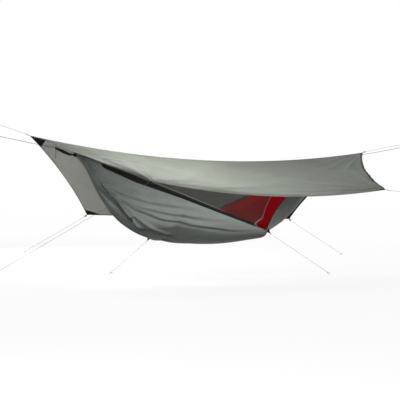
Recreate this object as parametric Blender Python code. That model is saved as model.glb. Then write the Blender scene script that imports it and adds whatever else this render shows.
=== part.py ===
"""Hammock tent: a gathered hammock with a net, hung under a six-cornered fly.

Metres, +Z up. The origin is the centre of the head rope's tree loop, which holds the tent up.
+X runs along the ridge from head to foot, and -Y is the side that the zip opens on.
"""

import bpy
import numpy as np
from mathutils import Matrix, Vector

# Fly: its ridge, its side edges and how far its corners drop below the origin
FLY_HEAD_X = 0.350
FLY_RIDGE = 3.500
FLY_HEAD_DROP = 0.0025
FLY_FOOT_DROP = 0.0895
RIDGE_SAG = 0.1525
NEAR_SIDE = 2.200
NEAR_REACH = 1.390
NEAR_HEAD_DROP = 0.4295
NEAR_FOOT_DROP = 0.4895
FAR_SIDE = 2.224
FAR_SHIFT = 0.046
FAR_REACH = 0.500
FAR_HEAD_DROP = 0.724
FAR_FOOT_DROP = 0.7805
NEAR_EDGE_SAG = 0.090
FAR_EDGE_SAG = 0.006
HEAD_NEAR_CUT = 0.030
HEAD_NEAR_SAG = 0.025
FOOT_NEAR_CUT = 0.085
FOOT_NEAR_SAG = 0.004
HEAD_FAR_CUT = 0.045
FOOT_FAR_CUT = 0.085
NEAR_PANEL_SAG = 0.030
FAR_PANEL_SAG = 0.004
FLY_CLOTH = 0.0018
RIDGE_SLOPE_SHARE = 0.1
CREASE_HEIGHT = 0.022
CREASE_WIDTH_SHARE = 0.06
CREASE_TOP_SHARE = 0.24

# How far each corner's patch reaches along the ridge, the end edges and the side edges
RIDGE_PATCH = 0.180
END_PATCH = 0.150
CORNER_PATCH = 0.090
PATCH_THICKNESS = 0.0012

# Hammock: gathers, tie-outs and the sag of its body
GATHER_SPAN = 2.636
HEAD_GATHER_DROP = 0.1695
FOOT_GATHER_DROP = 0.1915
NEAR_TIE_FOOTWARD = 0.357
NEAR_TIE_OUT = 0.550
NEAR_TIE_LIFT = 0.07624
FAR_TIE_HEADWARD = 0.390
FAR_TIE_OUT = 0.550
FAR_TIE_LIFT = 0.0144
BODY_DEPTH = 0.830
BODY_CLOTH = 0.0012
BODY_COLUMN_SHARES = np.concatenate([np.linspace(0, 0.5, 15), np.linspace(0.5, 1, 9)[1:]])
SWAG_START_SHARE = 0.42
SWAG_END_SHARES = (0.46, 0.67, 0.86)
SWAG_WIDTH_SHARE = 0.045
SWAG_HEIGHT = 0.022
PLEAT_SHARES = (0.50, 0.64, 0.80)
PLEAT_LENGTH_SHARE = 0.55
PLEAT_WIDTH_SHARE = 0.045
PLEAT_HEIGHT = 0.016
LINING_CLOTH = 0.0008
LINING_GAP = 0.0020
NET_CLOTH = 0.0012
NET_TUCK = 0.024
GATHER_HALF_WIDTH = 0.010
ZIP_OPEN_BEFORE_TIE = 0.100
HEM_BOW = 0.088
NET_EDGE_BOW = 0.230
SEAM_GAP = 0.0016
LINING_SHORT = 0.0024

# Ridge cord and the loops that carry the net on it
RIDGE_CORD = 0.003
CORD_ABOVE_GATHER = 0.017
NET_HANG = 0.0064
HANG_LOOP_SHARES = (0.1, 0.3, 0.5, 0.7, 0.9)
HANG_LOOP_WIDTH = 0.008
HANG_LOOP_INSIDE = 0.0026
HANG_LOOP_WALL = 0.0010
HANG_LOOP_DROP = 0.0007

# Zip
TAPE_WIDTH = 0.034
TAPE_THICKNESS = 0.0015
HALF_TAPE_WIDTH = 0.013
CHAIN_WIDTH = 0.006
CHAIN_HEIGHT = 0.004
TAPE_TAPER = 0.120
TAPE_END_SHARE = 0.16
SLIDER_LENGTH = 0.022
SLIDER_WIDTH = 0.013
SLIDER_PLATE = 0.0018
SLIDER_FROM_OPENING = 0.013
SLIDER_CLEARANCE = 0.0004
LUG_LENGTH = 0.0044
LUG_INSIDE = 0.0044
LUG_WALL = 0.0014
LUG_OVER_PIN_SHARE = 0.8
PIN_RADIUS = 0.0010
EYE_INSIDE = 0.0014
EYE_RADIUS = 0.0028
EYE_WIDTH = 0.0036
TAB_START = 0.0050
TAB_LENGTH = 0.030
TAB_WIDTH = 0.0075
TAB_THICKNESS = 0.0015
NECK_SHARE = 0.9
TAB_END_SHARE = 0.6
INNER_TAB_HANG = np.radians(60)

# Bindings, tie-outs, straps, ropes and guy lines
BINDING_WIDTH = 0.012
WEBBING_LOOP_LENGTH = 0.030
WEBBING_LOOP_HEIGHT = 0.010
WEBBING_WIDTH = 0.014
WEBBING_THICKNESS = 0.0016
LOOP_OFF_CORNER = 0.0005
TIE_PATCH_SIDE = 0.045
TIE_PATCH_LENGTH = 0.045
TIE_PATCH_THICKNESS = 0.002
TIE_PATCH_OFF = 0.0022
SLEEVE_RADIUS = 0.0185
SLEEVE_LENGTH = 0.032
SLEEVE_LIFT = 0.002
SLEEVE_PROFILE_SHARES = ((0.0, 1.0), (0.35, 1.0), (0.7, 0.85), (1.0, 0.5))
STRAP_THICKNESS = 0.008
STRAP_HEIGHT = 0.030
STRAP_PROFILE_SHARES = ((0.0, 0.0, 0.4), (0.21, 0.06, 0.8), (0.6, 0.53, 1.0), (1.0, 1.0, 0.7))
STRAP_CORNER_SHARE = 0.3
STRAP_TO_ROPE = 0.0010
HEAD_STRAP_REACH = 0.198
HEAD_STRAP_RISE = 0.062
FOOT_STRAP_REACH = 0.232
FOOT_STRAP_RISE = 0.048
ROPE_SAG = 0.002
ROPE_ROUTE_SHARES = (0, 0.15, 0.3, 0.5, 0.7)
GUY_CORD = 0.0022
ROPE = 0.004
GUY_LOOP = 0.009
ROPE_LOOP = 0.020
KNOT_RADIUS_SHARE = 1.3
KNOT_LENGTH_SHARE = 4.5
DRIP_CORD = 0.004
DRIP_LENGTH = 0.080
DRIP_BACK = 0.004
CLEARANCE = 0.0003

MIDDLE_X = FLY_HEAD_X + FLY_RIDGE / 2
HEAD_GATHER = np.array((MIDDLE_X - GATHER_SPAN / 2, 0, -HEAD_GATHER_DROP))
FOOT_GATHER = np.array((MIDDLE_X + GATHER_SPAN / 2, 0, -FOOT_GATHER_DROP))
DOWN = np.array((0, 0, -1.0))

# The lowest line of the hammock's body between its gathers, as shares of their span and of the
# body's depth, chosen by hand
BODY_FLOOR_SHARES = [(0.0, 0.0133), (0.0383, 0.1219), (0.0611, 0.2610), (0.0941, 0.4445),
                     (0.1222, 0.5636), (0.1692, 0.7130), (0.2124, 0.7998), (0.2629, 0.8792),
                     (0.3577, 0.9646), (0.4594, 0.9957), (0.5702, 0.9704), (0.6745, 0.8830),
                     (0.7390, 0.8040), (0.7822, 0.7370), (0.8122, 0.6700), (0.8502, 0.5564),
                     (0.9059, 0.3621), (0.9389, 0.2287), (0.9617, 0.1197), (1.0, 0.0133)]

# Where the taut ropes and lines are tied, chosen by hand
HEAD_TREE = np.array((0, 0, 0))
FOOT_TREE = np.array((4.400, 0, -0.0145))
FLY_GUY_ENDS = {
    "head": (0, 0, 0.1115),
    "foot": (4.355, 0, 0.0095),
    "near_head": (-0.360, -1.850, -1.105),
    "near_foot": (3.460, -1.390, -0.5155),
    "far_head": (0.610, 1.300, -1.1115),
    "far_foot": (4.080, 0.800, -1.1855),
}
NEAR_TIE_END = (2.855, -1.000, -1.2435)
FAR_TIE_END = (1.355, 0.750, -1.3165)


def unit(vector):
    vector = np.asarray(vector, float)
    return vector / np.linalg.norm(vector, axis=-1, keepdims=True)


# Blender objects from points

def make_material(name, colour, roughness, metallic=0.0):
    material = bpy.data.materials.new(name)
    material.use_nodes = True
    shader = material.node_tree.nodes["Principled BSDF"]
    shader.inputs["Base Color"].default_value = (*colour, 1)
    shader.inputs["Roughness"].default_value = roughness
    shader.inputs["Metallic"].default_value = metallic
    return material


def link_object(name, data):
    obj = bpy.data.objects.new(name, data)
    bpy.context.scene.collection.objects.link(obj)
    return obj


def add_object(name, verts, faces, material):
    """A smooth object of these faces, turned over if they face inwards."""
    mesh = bpy.data.meshes.new(name)
    verts = np.asarray(verts, float)
    mesh.from_pydata([tuple(v) for v in verts], [], [tuple(int(k) for k in face) for face in faces])
    volume = 0.0
    for face in faces:
        for a, b in zip(face[1:-1], face[2:]):
            volume += np.dot(verts[face[0]], np.cross(verts[a], verts[b]))
    if volume < 0:
        mesh.flip_normals()
    mesh.shade_smooth()
    mesh.set_sharp_from_angle(angle=np.radians(40))
    mesh.materials.append(material)
    return link_object(name, mesh)


def vertex_normals(points, triangles):
    """Normals whose length keeps a sheet's thickness where its triangles meet at an angle."""
    a, b, c = (points[triangles[:, k]] for k in range(3))
    face_normals = unit(np.cross(b - a, c - a))
    total = np.zeros_like(points)
    for k in range(3):
        np.add.at(total, triangles[:, k], face_normals)
    normals = unit(total)
    lean = np.ones(len(points))
    for k in range(3):
        along = (normals[triangles[:, k]] * face_normals).sum(axis=1)
        np.minimum.at(lean, triangles[:, k], along)
    return normals / np.maximum(lean, 0.6)[:, None]


def sheet_solid(name, points, triangles, low, high, material, flat_x=()):
    """A closed sheet of cloth between two offsets from its triangles."""
    triangles = np.asarray(triangles)
    normals = vertex_normals(points, triangles)
    for k in flat_x:
        normals[k, 0] = 0
    count = len(points)
    verts = np.concatenate([points + normals * high, points + normals * low])
    faces = [tuple(t) for t in triangles] + [tuple(t[::-1] + count) for t in triangles]
    edges = {(t[k], t[(k + 1) % 3]) for t in triangles for k in range(3)}
    for start, end in sorted(edges):
        if (end, start) not in edges:
            faces.append((end, start, start + count, end + count))
    return add_object(name, verts, faces, material)


def grid_sheet(name, grid, low, high, material, turned=lambda i, j: False, flat_ends=False):
    """A sheet over a grid of points; turned says which cells' diagonals run the other way."""
    rows, cols = len(grid), len(grid[0])
    triangles = []
    for i in range(rows - 1):
        for j in range(cols - 1):
            a, b = i * cols + j, (i + 1) * cols + j
            if turned(i, j):
                triangles += [(a, b, a + 1), (b, b + 1, a + 1)]
            else:
                triangles += [(a, b, b + 1), (a, b + 1, a + 1)]
    ends = list(range(cols)) + list(range((rows - 1) * cols, rows * cols))
    return sheet_solid(name, np.asarray(grid, float).reshape(-1, 3), triangles, low, high, material,
                       flat_x=ends if flat_ends else ())


def swept(name, rings, material):
    """Joins rings of as many points into one closed bar."""
    count = len(rings[0])
    verts = [point for ring in rings for point in ring]
    last = (len(rings) - 1) * count
    faces = [tuple(range(count))[::-1], tuple(range(last, last + count))]
    for r in range(len(rings) - 1):
        for k in range(count):
            a, b = r * count + k, r * count + (k + 1) % count
            faces.append((a, b, b + count, a + count))
    return add_object(name, verts, faces, material)


def cord(name, route, diameter, material):
    """A round cord along the route."""
    curve = bpy.data.curves.new(name, "CURVE")
    curve.dimensions = "3D"
    curve.bevel_depth = diameter / 2
    curve.bevel_resolution = 2
    curve.render_resolution_u = 0
    curve.use_fill_caps = True
    spline = curve.splines.new("POLY")
    spline.points.add(len(route) - 1)
    for point, place in zip(spline.points, route):
        point.co = (*place, 1)
    curve.materials.append(material)
    return link_object(name, curve)


def smooth_route(route, count):
    """Evenly spaced points on a smooth curve through the route's own points."""
    route = np.asarray(route, float)
    steps = np.concatenate([[0], np.cumsum(np.linalg.norm(np.diff(route, axis=0), axis=1))])
    slopes = np.gradient(route, steps, axis=0)
    places = []
    for s in np.linspace(0, steps[-1], count):
        k = min(np.searchsorted(steps, s, side="right") - 1, len(route) - 2)
        span = steps[k + 1] - steps[k]
        t = (s - steps[k]) / span
        places.append((1 + 2 * t) * (1 - t) ** 2 * route[k] + t * (1 - t) ** 2 * span * slopes[k]
                      + t * t * (3 - 2 * t) * route[k + 1] + t * t * (t - 1) * span * slopes[k + 1])
    return np.array(places)


def facing(direction):
    """A rotation whose X axis is the direction and whose Z axis leans up."""
    x = Vector(direction).normalized()
    y = Vector((0, 0, 1)).cross(x).normalized()
    return Matrix((x, y, x.cross(y))).transposed()


def add_copy(name, mesh, place, turn):
    obj = link_object(name, mesh)
    obj.matrix_world = Matrix.Translation(Vector(place)) @ turn.to_4x4()
    return obj


def united(name, shapes, material):
    """One mesh of overlapping shapes, with no object left behind."""
    parts = [add_object(f"{name}_{k}", *shape, material) for k, shape in enumerate(shapes)]
    for other in parts[1:]:
        union = parts[0].modifiers.new("union", "BOOLEAN")
        union.operation = "UNION"
        union.solver = "EXACT"
        union.object = other
    graph = bpy.context.evaluated_depsgraph_get()
    mesh = bpy.data.meshes.new_from_object(parts[0].evaluated_get(graph))
    mesh.name = name
    for obj in parts:
        bpy.data.objects.remove(obj)
    return mesh


def round_shape(radius, length, sides, axis="X", hole=0.0, centre=(0, 0, 0)):
    """Verts and faces of a round bar, or of a tube where it has a hole, about an axis."""
    angles = np.linspace(0, 2 * np.pi, sides, endpoint=False)
    verts = []
    for r in ([radius, hole] if hole else [radius]):
        for end in (-length / 2, length / 2):
            for a in angles:
                u, v = r * np.cos(a), r * np.sin(a)
                verts.append((end, u, v) if axis == "X" else (v, end, u))
    faces = []
    for k in range(sides):
        n = (k + 1) % sides
        faces.append((k, n, n + sides, k + sides))
        if hole:
            a, b = 2 * sides + k, 2 * sides + n
            faces += [(b, a, a + sides, b + sides), (n, k, a, b),
                      (k + sides, n + sides, b + sides, a + sides)]
    if not hole:
        faces += [tuple(range(sides))[::-1], tuple(range(sides, 2 * sides))]
    return np.array(verts) + np.asarray(centre), faces


def box_shape(low, high):
    xs, ys, zs = zip(low, high)
    verts = [(x, y, z) for x in xs for y in ys for z in zs]
    faces = [(0, 1, 3, 2), (4, 6, 7, 5), (0, 4, 5, 1), (2, 3, 7, 6), (0, 2, 6, 4), (1, 5, 7, 3)]
    return verts, faces


def band_shape(outer, inner, width):
    """A closed band between two outlines of as many points in the XZ plane, width along Y."""
    count = len(outer)
    verts = [(x, y, z) for y in (-width / 2, width / 2) for x, z in [*outer, *inner]]
    side = 2 * count
    faces = []
    for k in range(count):
        n = (k + 1) % count
        faces += [(n, k, k + side, n + side),
                  (k + count, n + count, n + count + side, k + count + side),
                  (k, n, n + count, k + count),
                  (n + side, k + side, k + count + side, n + count + side)]
    return verts, faces


# Fly

def fly_corner(name):
    if name == "head":
        return np.array((FLY_HEAD_X, 0, -FLY_HEAD_DROP))
    if name == "foot":
        return np.array((FLY_HEAD_X + FLY_RIDGE, 0, -FLY_FOOT_DROP))
    near, foot = name.startswith("near"), name.endswith("foot")
    half = (NEAR_SIDE if near else FAR_SIDE) / 2
    x = MIDDLE_X + (0 if near else FAR_SHIFT) + (half if foot else -half)
    drops = {"near_head": NEAR_HEAD_DROP, "near_foot": NEAR_FOOT_DROP,
             "far_head": FAR_HEAD_DROP, "far_foot": FAR_FOOT_DROP}
    return np.array((x, -NEAR_REACH if near else FAR_REACH, -drops[name]))


def bowed(start, end, t, sag, inward=0.0):
    """A point of an edge that sags, and is cut inward, between its ends."""
    return start + (end - start) * t + (DOWN * sag + inward) * 4 * t * (1 - t)


def ridge_point(s):
    return bowed(fly_corner("head"), fly_corner("foot"), s, RIDGE_SAG)


def panel_point(side, s, t):
    """A point of a panel: s from head to foot, t from the ridge down to the side edge."""
    near = side == "near"
    head, foot = fly_corner("head"), fly_corner("foot")
    head_side, foot_side = fly_corner(side + "_head"), fly_corner(side + "_foot")
    along = unit(foot - head)
    if near:
        head_edge = bowed(head, head_side, t, HEAD_NEAR_SAG, along * HEAD_NEAR_CUT)
        foot_edge = bowed(foot, foot_side, t, FOOT_NEAR_SAG, -along * FOOT_NEAR_CUT)
    else:
        head_edge = bowed(head, head_side, t, 0, along * HEAD_FAR_CUT)
        foot_edge = bowed(foot, foot_side, t, 0, -along * FOOT_FAR_CUT)
    side_edge = bowed(head_side, foot_side, s, NEAR_EDGE_SAG if near else FAR_EDGE_SAG)
    point = ((1 - t) * ridge_point(s) + t * side_edge + (1 - s) * head_edge + s * foot_edge
             - (1 - s) * ((1 - t) * head + t * head_side) - s * ((1 - t) * foot + t * foot_side))
    hang = 16 * s * (1 - s) * t * (1 - t)
    if not near:
        return point - np.array((0, 1, 1)) * FAR_PANEL_SAG * hang
    off_crease = (s - CREASE_TOP_SHARE * (1 - t)) / CREASE_WIDTH_SHARE
    crease = CREASE_HEIGHT * np.exp(-off_crease ** 2) * 4 * t * (1 - t)
    return point + DOWN * (NEAR_PANEL_SAG * hang - crease)


def fly_lines():
    """The canopy's grid lines, as shares along the ridge and down each panel."""
    ridge_share = RIDGE_PATCH / FLY_RIDGE
    s_lines = np.concatenate([[0], np.linspace(ridge_share, 1 - ridge_share, 23), [1]])
    t_lines = {}
    for side, cells in (("near", 7), ("far", 5)):
        edge = np.linalg.norm(fly_corner(side + "_head") - fly_corner("head"))
        inner = np.linspace(END_PATCH / edge, 1 - CORNER_PATCH / edge, cells)
        t_lines[side] = np.concatenate([[0], inner, [1]])
    return s_lines, t_lines


def fly_patch(name, points, triangles, material):
    """A patch under one corner facet, or under two that share the ridge."""
    points = np.array(points)
    a, b, c = points[list(triangles[0])]
    if np.cross(b - a, c - a)[2] < 0:
        triangles = [triangle[::-1] for triangle in triangles]
    top = -FLY_CLOTH / 2 - CLEARANCE
    sheet_solid(name, points, triangles, top - PATCH_THICKNESS, top, material)


def build_fly(cloth, trim):
    s_lines, t_lines = fly_lines()
    columns = [("near", t) for t in t_lines["near"][::-1]] + [("far", t) for t in t_lines["far"][1:]]
    grid = np.array([[panel_point(side, s, t) for side, t in columns] for s in s_lines])
    rows, ridge, edge = len(grid), len(t_lines["near"]) - 1, len(columns) - 1

    def turned(i, j):
        """The corner cells' diagonals cut their corners off, so that a patch lies on one facet."""
        return (i < rows / 2) == (j in (0, ridge))

    grid_sheet("fly_canopy", grid, -FLY_CLOTH / 2, FLY_CLOTH / 2, cloth, turned)
    for end, row, step in (("head", 0, 1), ("foot", rows - 1, -1)):
        near = [grid[row, 0], grid[row + step, 0], grid[row, 1]]
        far = [grid[row, edge], grid[row, edge - 1], grid[row + step, edge]]
        top = [grid[row, ridge], grid[row + step, ridge], grid[row, ridge - 1], grid[row, ridge + 1]]
        fly_patch(f"fly_near_{end}_patch", near, [(0, 1, 2)], trim)
        fly_patch(f"fly_far_{end}_patch", far, [(0, 1, 2)], trim)
        fly_patch(f"fly_{end}_patch", top, [(0, 1, 2), (0, 3, 1)], trim)


# Webbing loops, tied loops and guy lines

def webbing_loop_mesh(material):
    """A loop of flat webbing, from its sewn end at the origin along +X."""
    middle = WEBBING_LOOP_HEIGHT / 2
    outlines = []
    for r in (middle, middle - WEBBING_THICKNESS):
        outline = []
        for centre, start in ((middle, np.pi / 2), (WEBBING_LOOP_LENGTH - middle, -np.pi / 2)):
            outline += [(centre + r * np.cos(a), r * np.sin(a))
                        for a in np.linspace(start, start + np.pi, 6)]
        outlines.append(outline)
    return united("webbing_loop", [band_shape(*outlines, WEBBING_WIDTH)], material)


def tied_loop_mesh(name, diameter, radius, material):
    """A loop tied in a cord's end, about the origin, with its knot behind it on -X."""
    around, sides = 16, 6
    verts = []
    for a in np.linspace(0, 2 * np.pi, around, endpoint=False):
        for b in np.linspace(0, 2 * np.pi, sides, endpoint=False):
            reach = radius + diameter / 2 * np.cos(b)
            verts.append((reach * np.cos(a), diameter / 2 * np.sin(b), reach * np.sin(a)))
    faces = []
    for i in range(around):
        a, b = i * sides, (i + 1) % around * sides
        faces += [(a + j, b + j, b + (j + 1) % sides, a + (j + 1) % sides) for j in range(sides)]
    length = KNOT_LENGTH_SHARE * diameter
    knot = round_shape(KNOT_RADIUS_SHARE * diameter, length, 8, centre=(-radius - length / 2, 0, 0))
    return united(name, [(verts, faces), knot], material)


def loop_reach(diameter, radius):
    """How far behind a tied loop's centre its cord ends."""
    return radius + KNOT_LENGTH_SHARE * diameter + CLEARANCE


def guy_line(name, tip, out, end, loop, material):
    """A taut line from just off the tip of a piece that points out, to the tied loop at end."""
    pull = unit(end - tip)
    straight = np.dot(pull, out)
    gap = (CLEARANCE + GUY_CORD / 2 * np.sqrt(1 - min(1.0, straight ** 2))) / straight
    start, stop = tip + pull * gap, end - pull * loop_reach(GUY_CORD, GUY_LOOP)
    cord(f"{name}_guy_line", np.linspace(start, stop, 18), GUY_CORD, material)
    add_copy(f"{name}_guy_end", loop, end, facing(pull))


def build_fly_guys(webbing_loop, guy_loop, material):
    """Each corner's webbing loop points halfway between the corner itself and its line's pull."""
    neighbours = {"head": ("near_head", "far_head", "foot"), "foot": ("near_foot", "far_foot", "head"),
                  "near_head": ("head", "near_foot"), "near_foot": ("foot", "near_head"),
                  "far_head": ("head", "far_foot"), "far_foot": ("foot", "far_head")}
    for name, others in neighbours.items():
        corner = fly_corner(name)
        end = np.array(FLY_GUY_ENDS[name])
        inward = sum(unit(fly_corner(other) - corner) for other in others)
        out = unit(unit(end - corner) - unit(inward))
        add_copy(f"fly_{name}_webbing", webbing_loop, corner + out * LOOP_OFF_CORNER, facing(out))
        tip = corner + out * (LOOP_OFF_CORNER + WEBBING_LOOP_LENGTH)
        guy_line(f"fly_{name}", tip, out, end, guy_loop, material)


# Hammock edges

def body_floor():
    """The x and z of the hammock's lowest line."""
    route = []
    for share, depth_share in BODY_FLOOR_SHARES:
        x, _, z = HEAD_GATHER + (FOOT_GATHER - HEAD_GATHER) * share
        route.append((x, z - BODY_DEPTH * depth_share))
    return smooth_route(route, 120).T


def tie_out(x, aside, lift):
    """A point of the body's edge, at its lift over the floor."""
    return np.array((x, aside, np.interp(x, *FLOOR_CURVE) + lift))


FLOOR_CURVE = body_floor()
NEAR_TIE = tie_out(MIDDLE_X + NEAR_TIE_FOOTWARD, -NEAR_TIE_OUT, NEAR_TIE_LIFT)
FAR_TIE = tie_out(MIDDLE_X - FAR_TIE_HEADWARD, FAR_TIE_OUT, FAR_TIE_LIFT)


def on_line(start, end, x):
    return start + (end - start) * (x - start[0]) / (end[0] - start[0])


def gather_share(x):
    """0 at the middle of the hammock, 1 at either gather."""
    return abs(2 * x - HEAD_GATHER[0] - FOOT_GATHER[0]) / GATHER_SPAN


def side_line(x, tie, side):
    """The straight edge from gather to tie-out to gather; side is -1 near and 1 far."""
    aside = np.array((0, side * GATHER_HALF_WIDTH, 0))
    if x <= tie[0]:
        return on_line(HEAD_GATHER + aside, tie, x)
    return on_line(tie, FOOT_GATHER + aside, x)


def foot_bow(x, start):
    """0 at the start and at the foot gather, 1 a third of the way between them."""
    share = max(0.0, (x - start) / (FOOT_GATHER[0] - start))
    return 27 / 4 * share * (1 - share) ** 2


def taper(x):
    """How wide tapes are: full along the sides, narrow at the gathers."""
    from_end = min(x - HEAD_GATHER[0], FOOT_GATHER[0] - x)
    return TAPE_END_SHARE + (1 - TAPE_END_SHARE) * min(1.0, max(0.0, from_end / TAPE_TAPER))


def ridge_cord_chord(x):
    return on_line(HEAD_GATHER, FOOT_GATHER, x) - DOWN * CORD_ABOVE_GATHER


def hang_loop_x(share):
    return HEAD_GATHER[0] + GATHER_SPAN * share


def ridge_cord_sag():
    """The sag that lays the fly's ridge on the highest hang loop or stretch of cord."""
    tops = [(x, RIDGE_CORD / 2) for x in np.linspace(hang_loop_x(0.05), hang_loop_x(0.95), 91)]
    tops += [(hang_loop_x(share) + side * HANG_LOOP_WIDTH, HANG_LOOP_INSIDE + HANG_LOOP_WALL)
             for share in HANG_LOOP_SHARES for side in (-1, 0, 1)]
    sags = []
    for x, radius in tops:
        s = (x - FLY_HEAD_X) / FLY_RIDGE
        _, aside, down = panel_point("far", s, RIDGE_SLOPE_SHARE) - ridge_point(s)
        steep = np.hypot(aside, down) / aside
        under = ridge_point(s)[2] - (FLY_CLOTH / 2 + CLEARANCE + radius) * steep
        sags.append((ridge_cord_chord(x)[2] - under) / (1 - gather_share(x) ** 2))
    return max(sags)


RIDGE_CORD_SAG = ridge_cord_sag()


def ridge_cord_point(x):
    return ridge_cord_chord(x) + DOWN * RIDGE_CORD_SAG * (1 - gather_share(x) ** 2)


def net_apex(x):
    return ridge_cord_point(x) + DOWN * NET_HANG


# The near tapes lie in one plane that leans in from the near edge towards the ridge cord
NEAR_RISE = unit(net_apex(NEAR_TIE[0]) - NEAR_TIE)
NEAR_OUT = np.cross(NEAR_RISE, (1, 0, 0)) * -1
ZIP_RUN = unit(NEAR_TIE - HEAD_GATHER - np.array((0, -GATHER_HALF_WIDTH, 0)))
SLANT = np.linalg.norm(np.cross(ZIP_RUN, NEAR_RISE))
ZIP_OPEN_X = NEAR_TIE[0] - ZIP_OPEN_BEFORE_TIE


def near_line(x):
    return side_line(x, NEAR_TIE, -1)


def far_line(x):
    return side_line(x, FAR_TIE, 1)


def hem_point(x):
    """The body's near edge, bowed inward beyond the tie-out."""
    return near_line(x) + NEAR_RISE * HEM_BOW * foot_bow(x, NEAR_TIE[0])


def net_edge_point(x):
    """The upper edge of the near tape, which the net is sewn to."""
    bow = NET_EDGE_BOW * foot_bow(x, ZIP_OPEN_X)
    return near_line(x) + NEAR_RISE * (TAPE_WIDTH / SLANT * taper(x) + bow)


def far_rise(x):
    return unit(net_apex(x) - far_line(x))


def fold_height(x, v):
    """How far the body's folds stand out. The swags run from the head gather up to the near edge."""
    height = 0.0
    for end_share in SWAG_END_SHARES:
        share = (x - HEAD_GATHER[0]) / ((NEAR_TIE[0] - HEAD_GATHER[0]) * end_share)
        if share < 1:
            middle = SWAG_START_SHARE * (1 - share ** 2)
            bump = np.exp(-((v - middle) / SWAG_WIDTH_SHARE) ** 2)
            height += SWAG_HEIGHT * bump * np.sin(np.pi * share ** 0.8)
    for middle in PLEAT_SHARES:
        share = (x - HEAD_GATHER[0]) / (GATHER_SPAN * PLEAT_LENGTH_SHARE)
        if share < 1:
            bump = np.exp(-((v - middle) / PLEAT_WIDTH_SHARE) ** 2)
            height += PLEAT_HEIGHT * bump * np.sin(np.pi * share ** 0.7)
    return height


def body_row(x):
    """The body's section at x, from its near edge under to its far edge, with its folds."""
    near, far = hem_point(x), far_line(x)
    floor = np.interp(x, *FLOOR_CURVE)
    near_high, far_high = near[2] - floor, far[2] - floor
    meet = near_high * far_high / (np.sqrt(near_high) + np.sqrt(far_high)) ** 2
    v = BODY_COLUMN_SHARES
    across = v * v * (3 - 2 * v)
    row = np.outer(1 - across, near) + np.outer(across, far)
    row[:, 2] = floor + near_high * (1 - v) ** 3 + far_high * v ** 3 - meet * 4 * v * (1 - v)
    run = np.gradient(row, axis=0)
    out = unit(np.cross(run, (1, 0, 0)))
    return row + out * np.array([[fold_height(x, share)] for share in v])


def station_xs():
    """Where the hammock's cross-sections lie: at both tie-outs, the zip's opening and between."""
    head, foot = HEAD_GATHER[0], FOOT_GATHER[0]
    stops = [head, head + TAPE_TAPER, FAR_TIE[0], ZIP_OPEN_X, NEAR_TIE[0], foot - TAPE_TAPER, foot]
    counts = [3, 7, 5, 1, 7, 3]
    xs = [np.linspace(a, b, n, endpoint=False) for a, b, n in zip(stops, stops[1:], counts)]
    return np.concatenate([*xs, [foot]])


def trimmed(row, gap):
    """A row of cloth drawn in along itself, by the gap at both its ends."""
    row = np.asarray(row)
    run = np.concatenate([[0], np.cumsum(np.linalg.norm(np.diff(row, axis=0), axis=1))])
    places = gap + run * (1 - 2 * gap / run[-1])
    return np.transpose([np.interp(places, run, row[:, k]) for k in range(3)])


def build_cloth(body_cloth, lining_cloth, net_cloth, trim):
    body, lining, net, binding = [], [], [], []
    for x in station_xs():
        row = body_row(x)
        body.append(trimmed(row, SEAM_GAP))
        lining.append(trimmed(row, SEAM_GAP + LINING_SHORT * taper(x)))
        apex, rise = net_apex(x), far_rise(x)
        seam = far_line(x) + rise * BINDING_WIDTH * taper(x)
        near, far = net_edge_point(x), seam
        tuck = DOWN * NET_TUCK * (1 - gather_share(x))
        shares = np.linspace(0, 1, 6)
        row = [near + (apex - near) * t + tuck * 4 * t * (1 - t) for t in shares]
        row += [apex + (far - apex) * t + tuck * 4 * t * (1 - t) for t in shares[1:]]
        net.append(trimmed(row, SEAM_GAP))
        binding.append([far_line(x), seam])
    half = BODY_CLOTH / 2
    grid_sheet("hammock_body", body, -half, half, body_cloth, flat_ends=True)
    low = half + LINING_GAP
    grid_sheet("hammock_lining", lining, low, low + LINING_CLOTH, lining_cloth, flat_ends=True)
    grid_sheet("mosquito_net", net, -NET_CLOTH / 2, NET_CLOTH / 2, net_cloth, flat_ends=True)
    grid_sheet("far_edge_binding", binding, -TAPE_THICKNESS / 2, TAPE_THICKNESS / 2, trim,
               flat_ends=True)


# Zip

def tape_ring(foot_point, width, chain_at, squeeze=1.0):
    """A section of a tape that stands on foot_point, with its chain at chain_at."""
    flat, high = TAPE_THICKNESS / 2, CHAIN_HEIGHT / 2
    low, top = (chain_at - CHAIN_WIDTH / 2 * squeeze, chain_at + CHAIN_WIDTH / 2 * squeeze)
    low, top = max(low, 0.0), min(top, width)
    side = [(0.0, flat), (low, flat), (low, high), (top, high), (top, flat), (width, flat)]
    if low <= 0:
        side = [(low, high), (top, high), (top, flat), (width, flat)]
    if top >= width:
        side = [(0.0, flat), (low, flat), (low, high), (width, high)]
    outline = side + [(a, -b) for a, b in side[::-1]]
    return [foot_point + NEAR_RISE * a + NEAR_OUT * b for a, b in outline]


def build_zip(tape):
    full = TAPE_WIDTH / SLANT
    end_gap = CHAIN_HEIGHT / 2
    rings = []
    for x in (HEAD_GATHER[0] + end_gap, HEAD_GATHER[0] + TAPE_TAPER, ZIP_OPEN_X - end_gap):
        width = full * taper(x)
        rings.append(tape_ring(near_line(x), width, width / 2, squeeze=taper(x)))
    swept("zip_closed_tape", rings, tape)
    xs = [x for x in station_xs() if x > ZIP_OPEN_X][:-1]
    xs = [ZIP_OPEN_X + end_gap, *xs, FOOT_GATHER[0] - end_gap]
    body_rings, net_rings = [], []
    for x in xs:
        width = HALF_TAPE_WIDTH * taper(x)
        body_rings.append(tape_ring(hem_point(x), width, width))
        net_rings.append(tape_ring(net_edge_point(x) - NEAR_RISE * width, width, 0.0))
    swept("zip_open_body_tape", body_rings, tape)
    swept("zip_open_net_tape", net_rings, tape)


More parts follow.
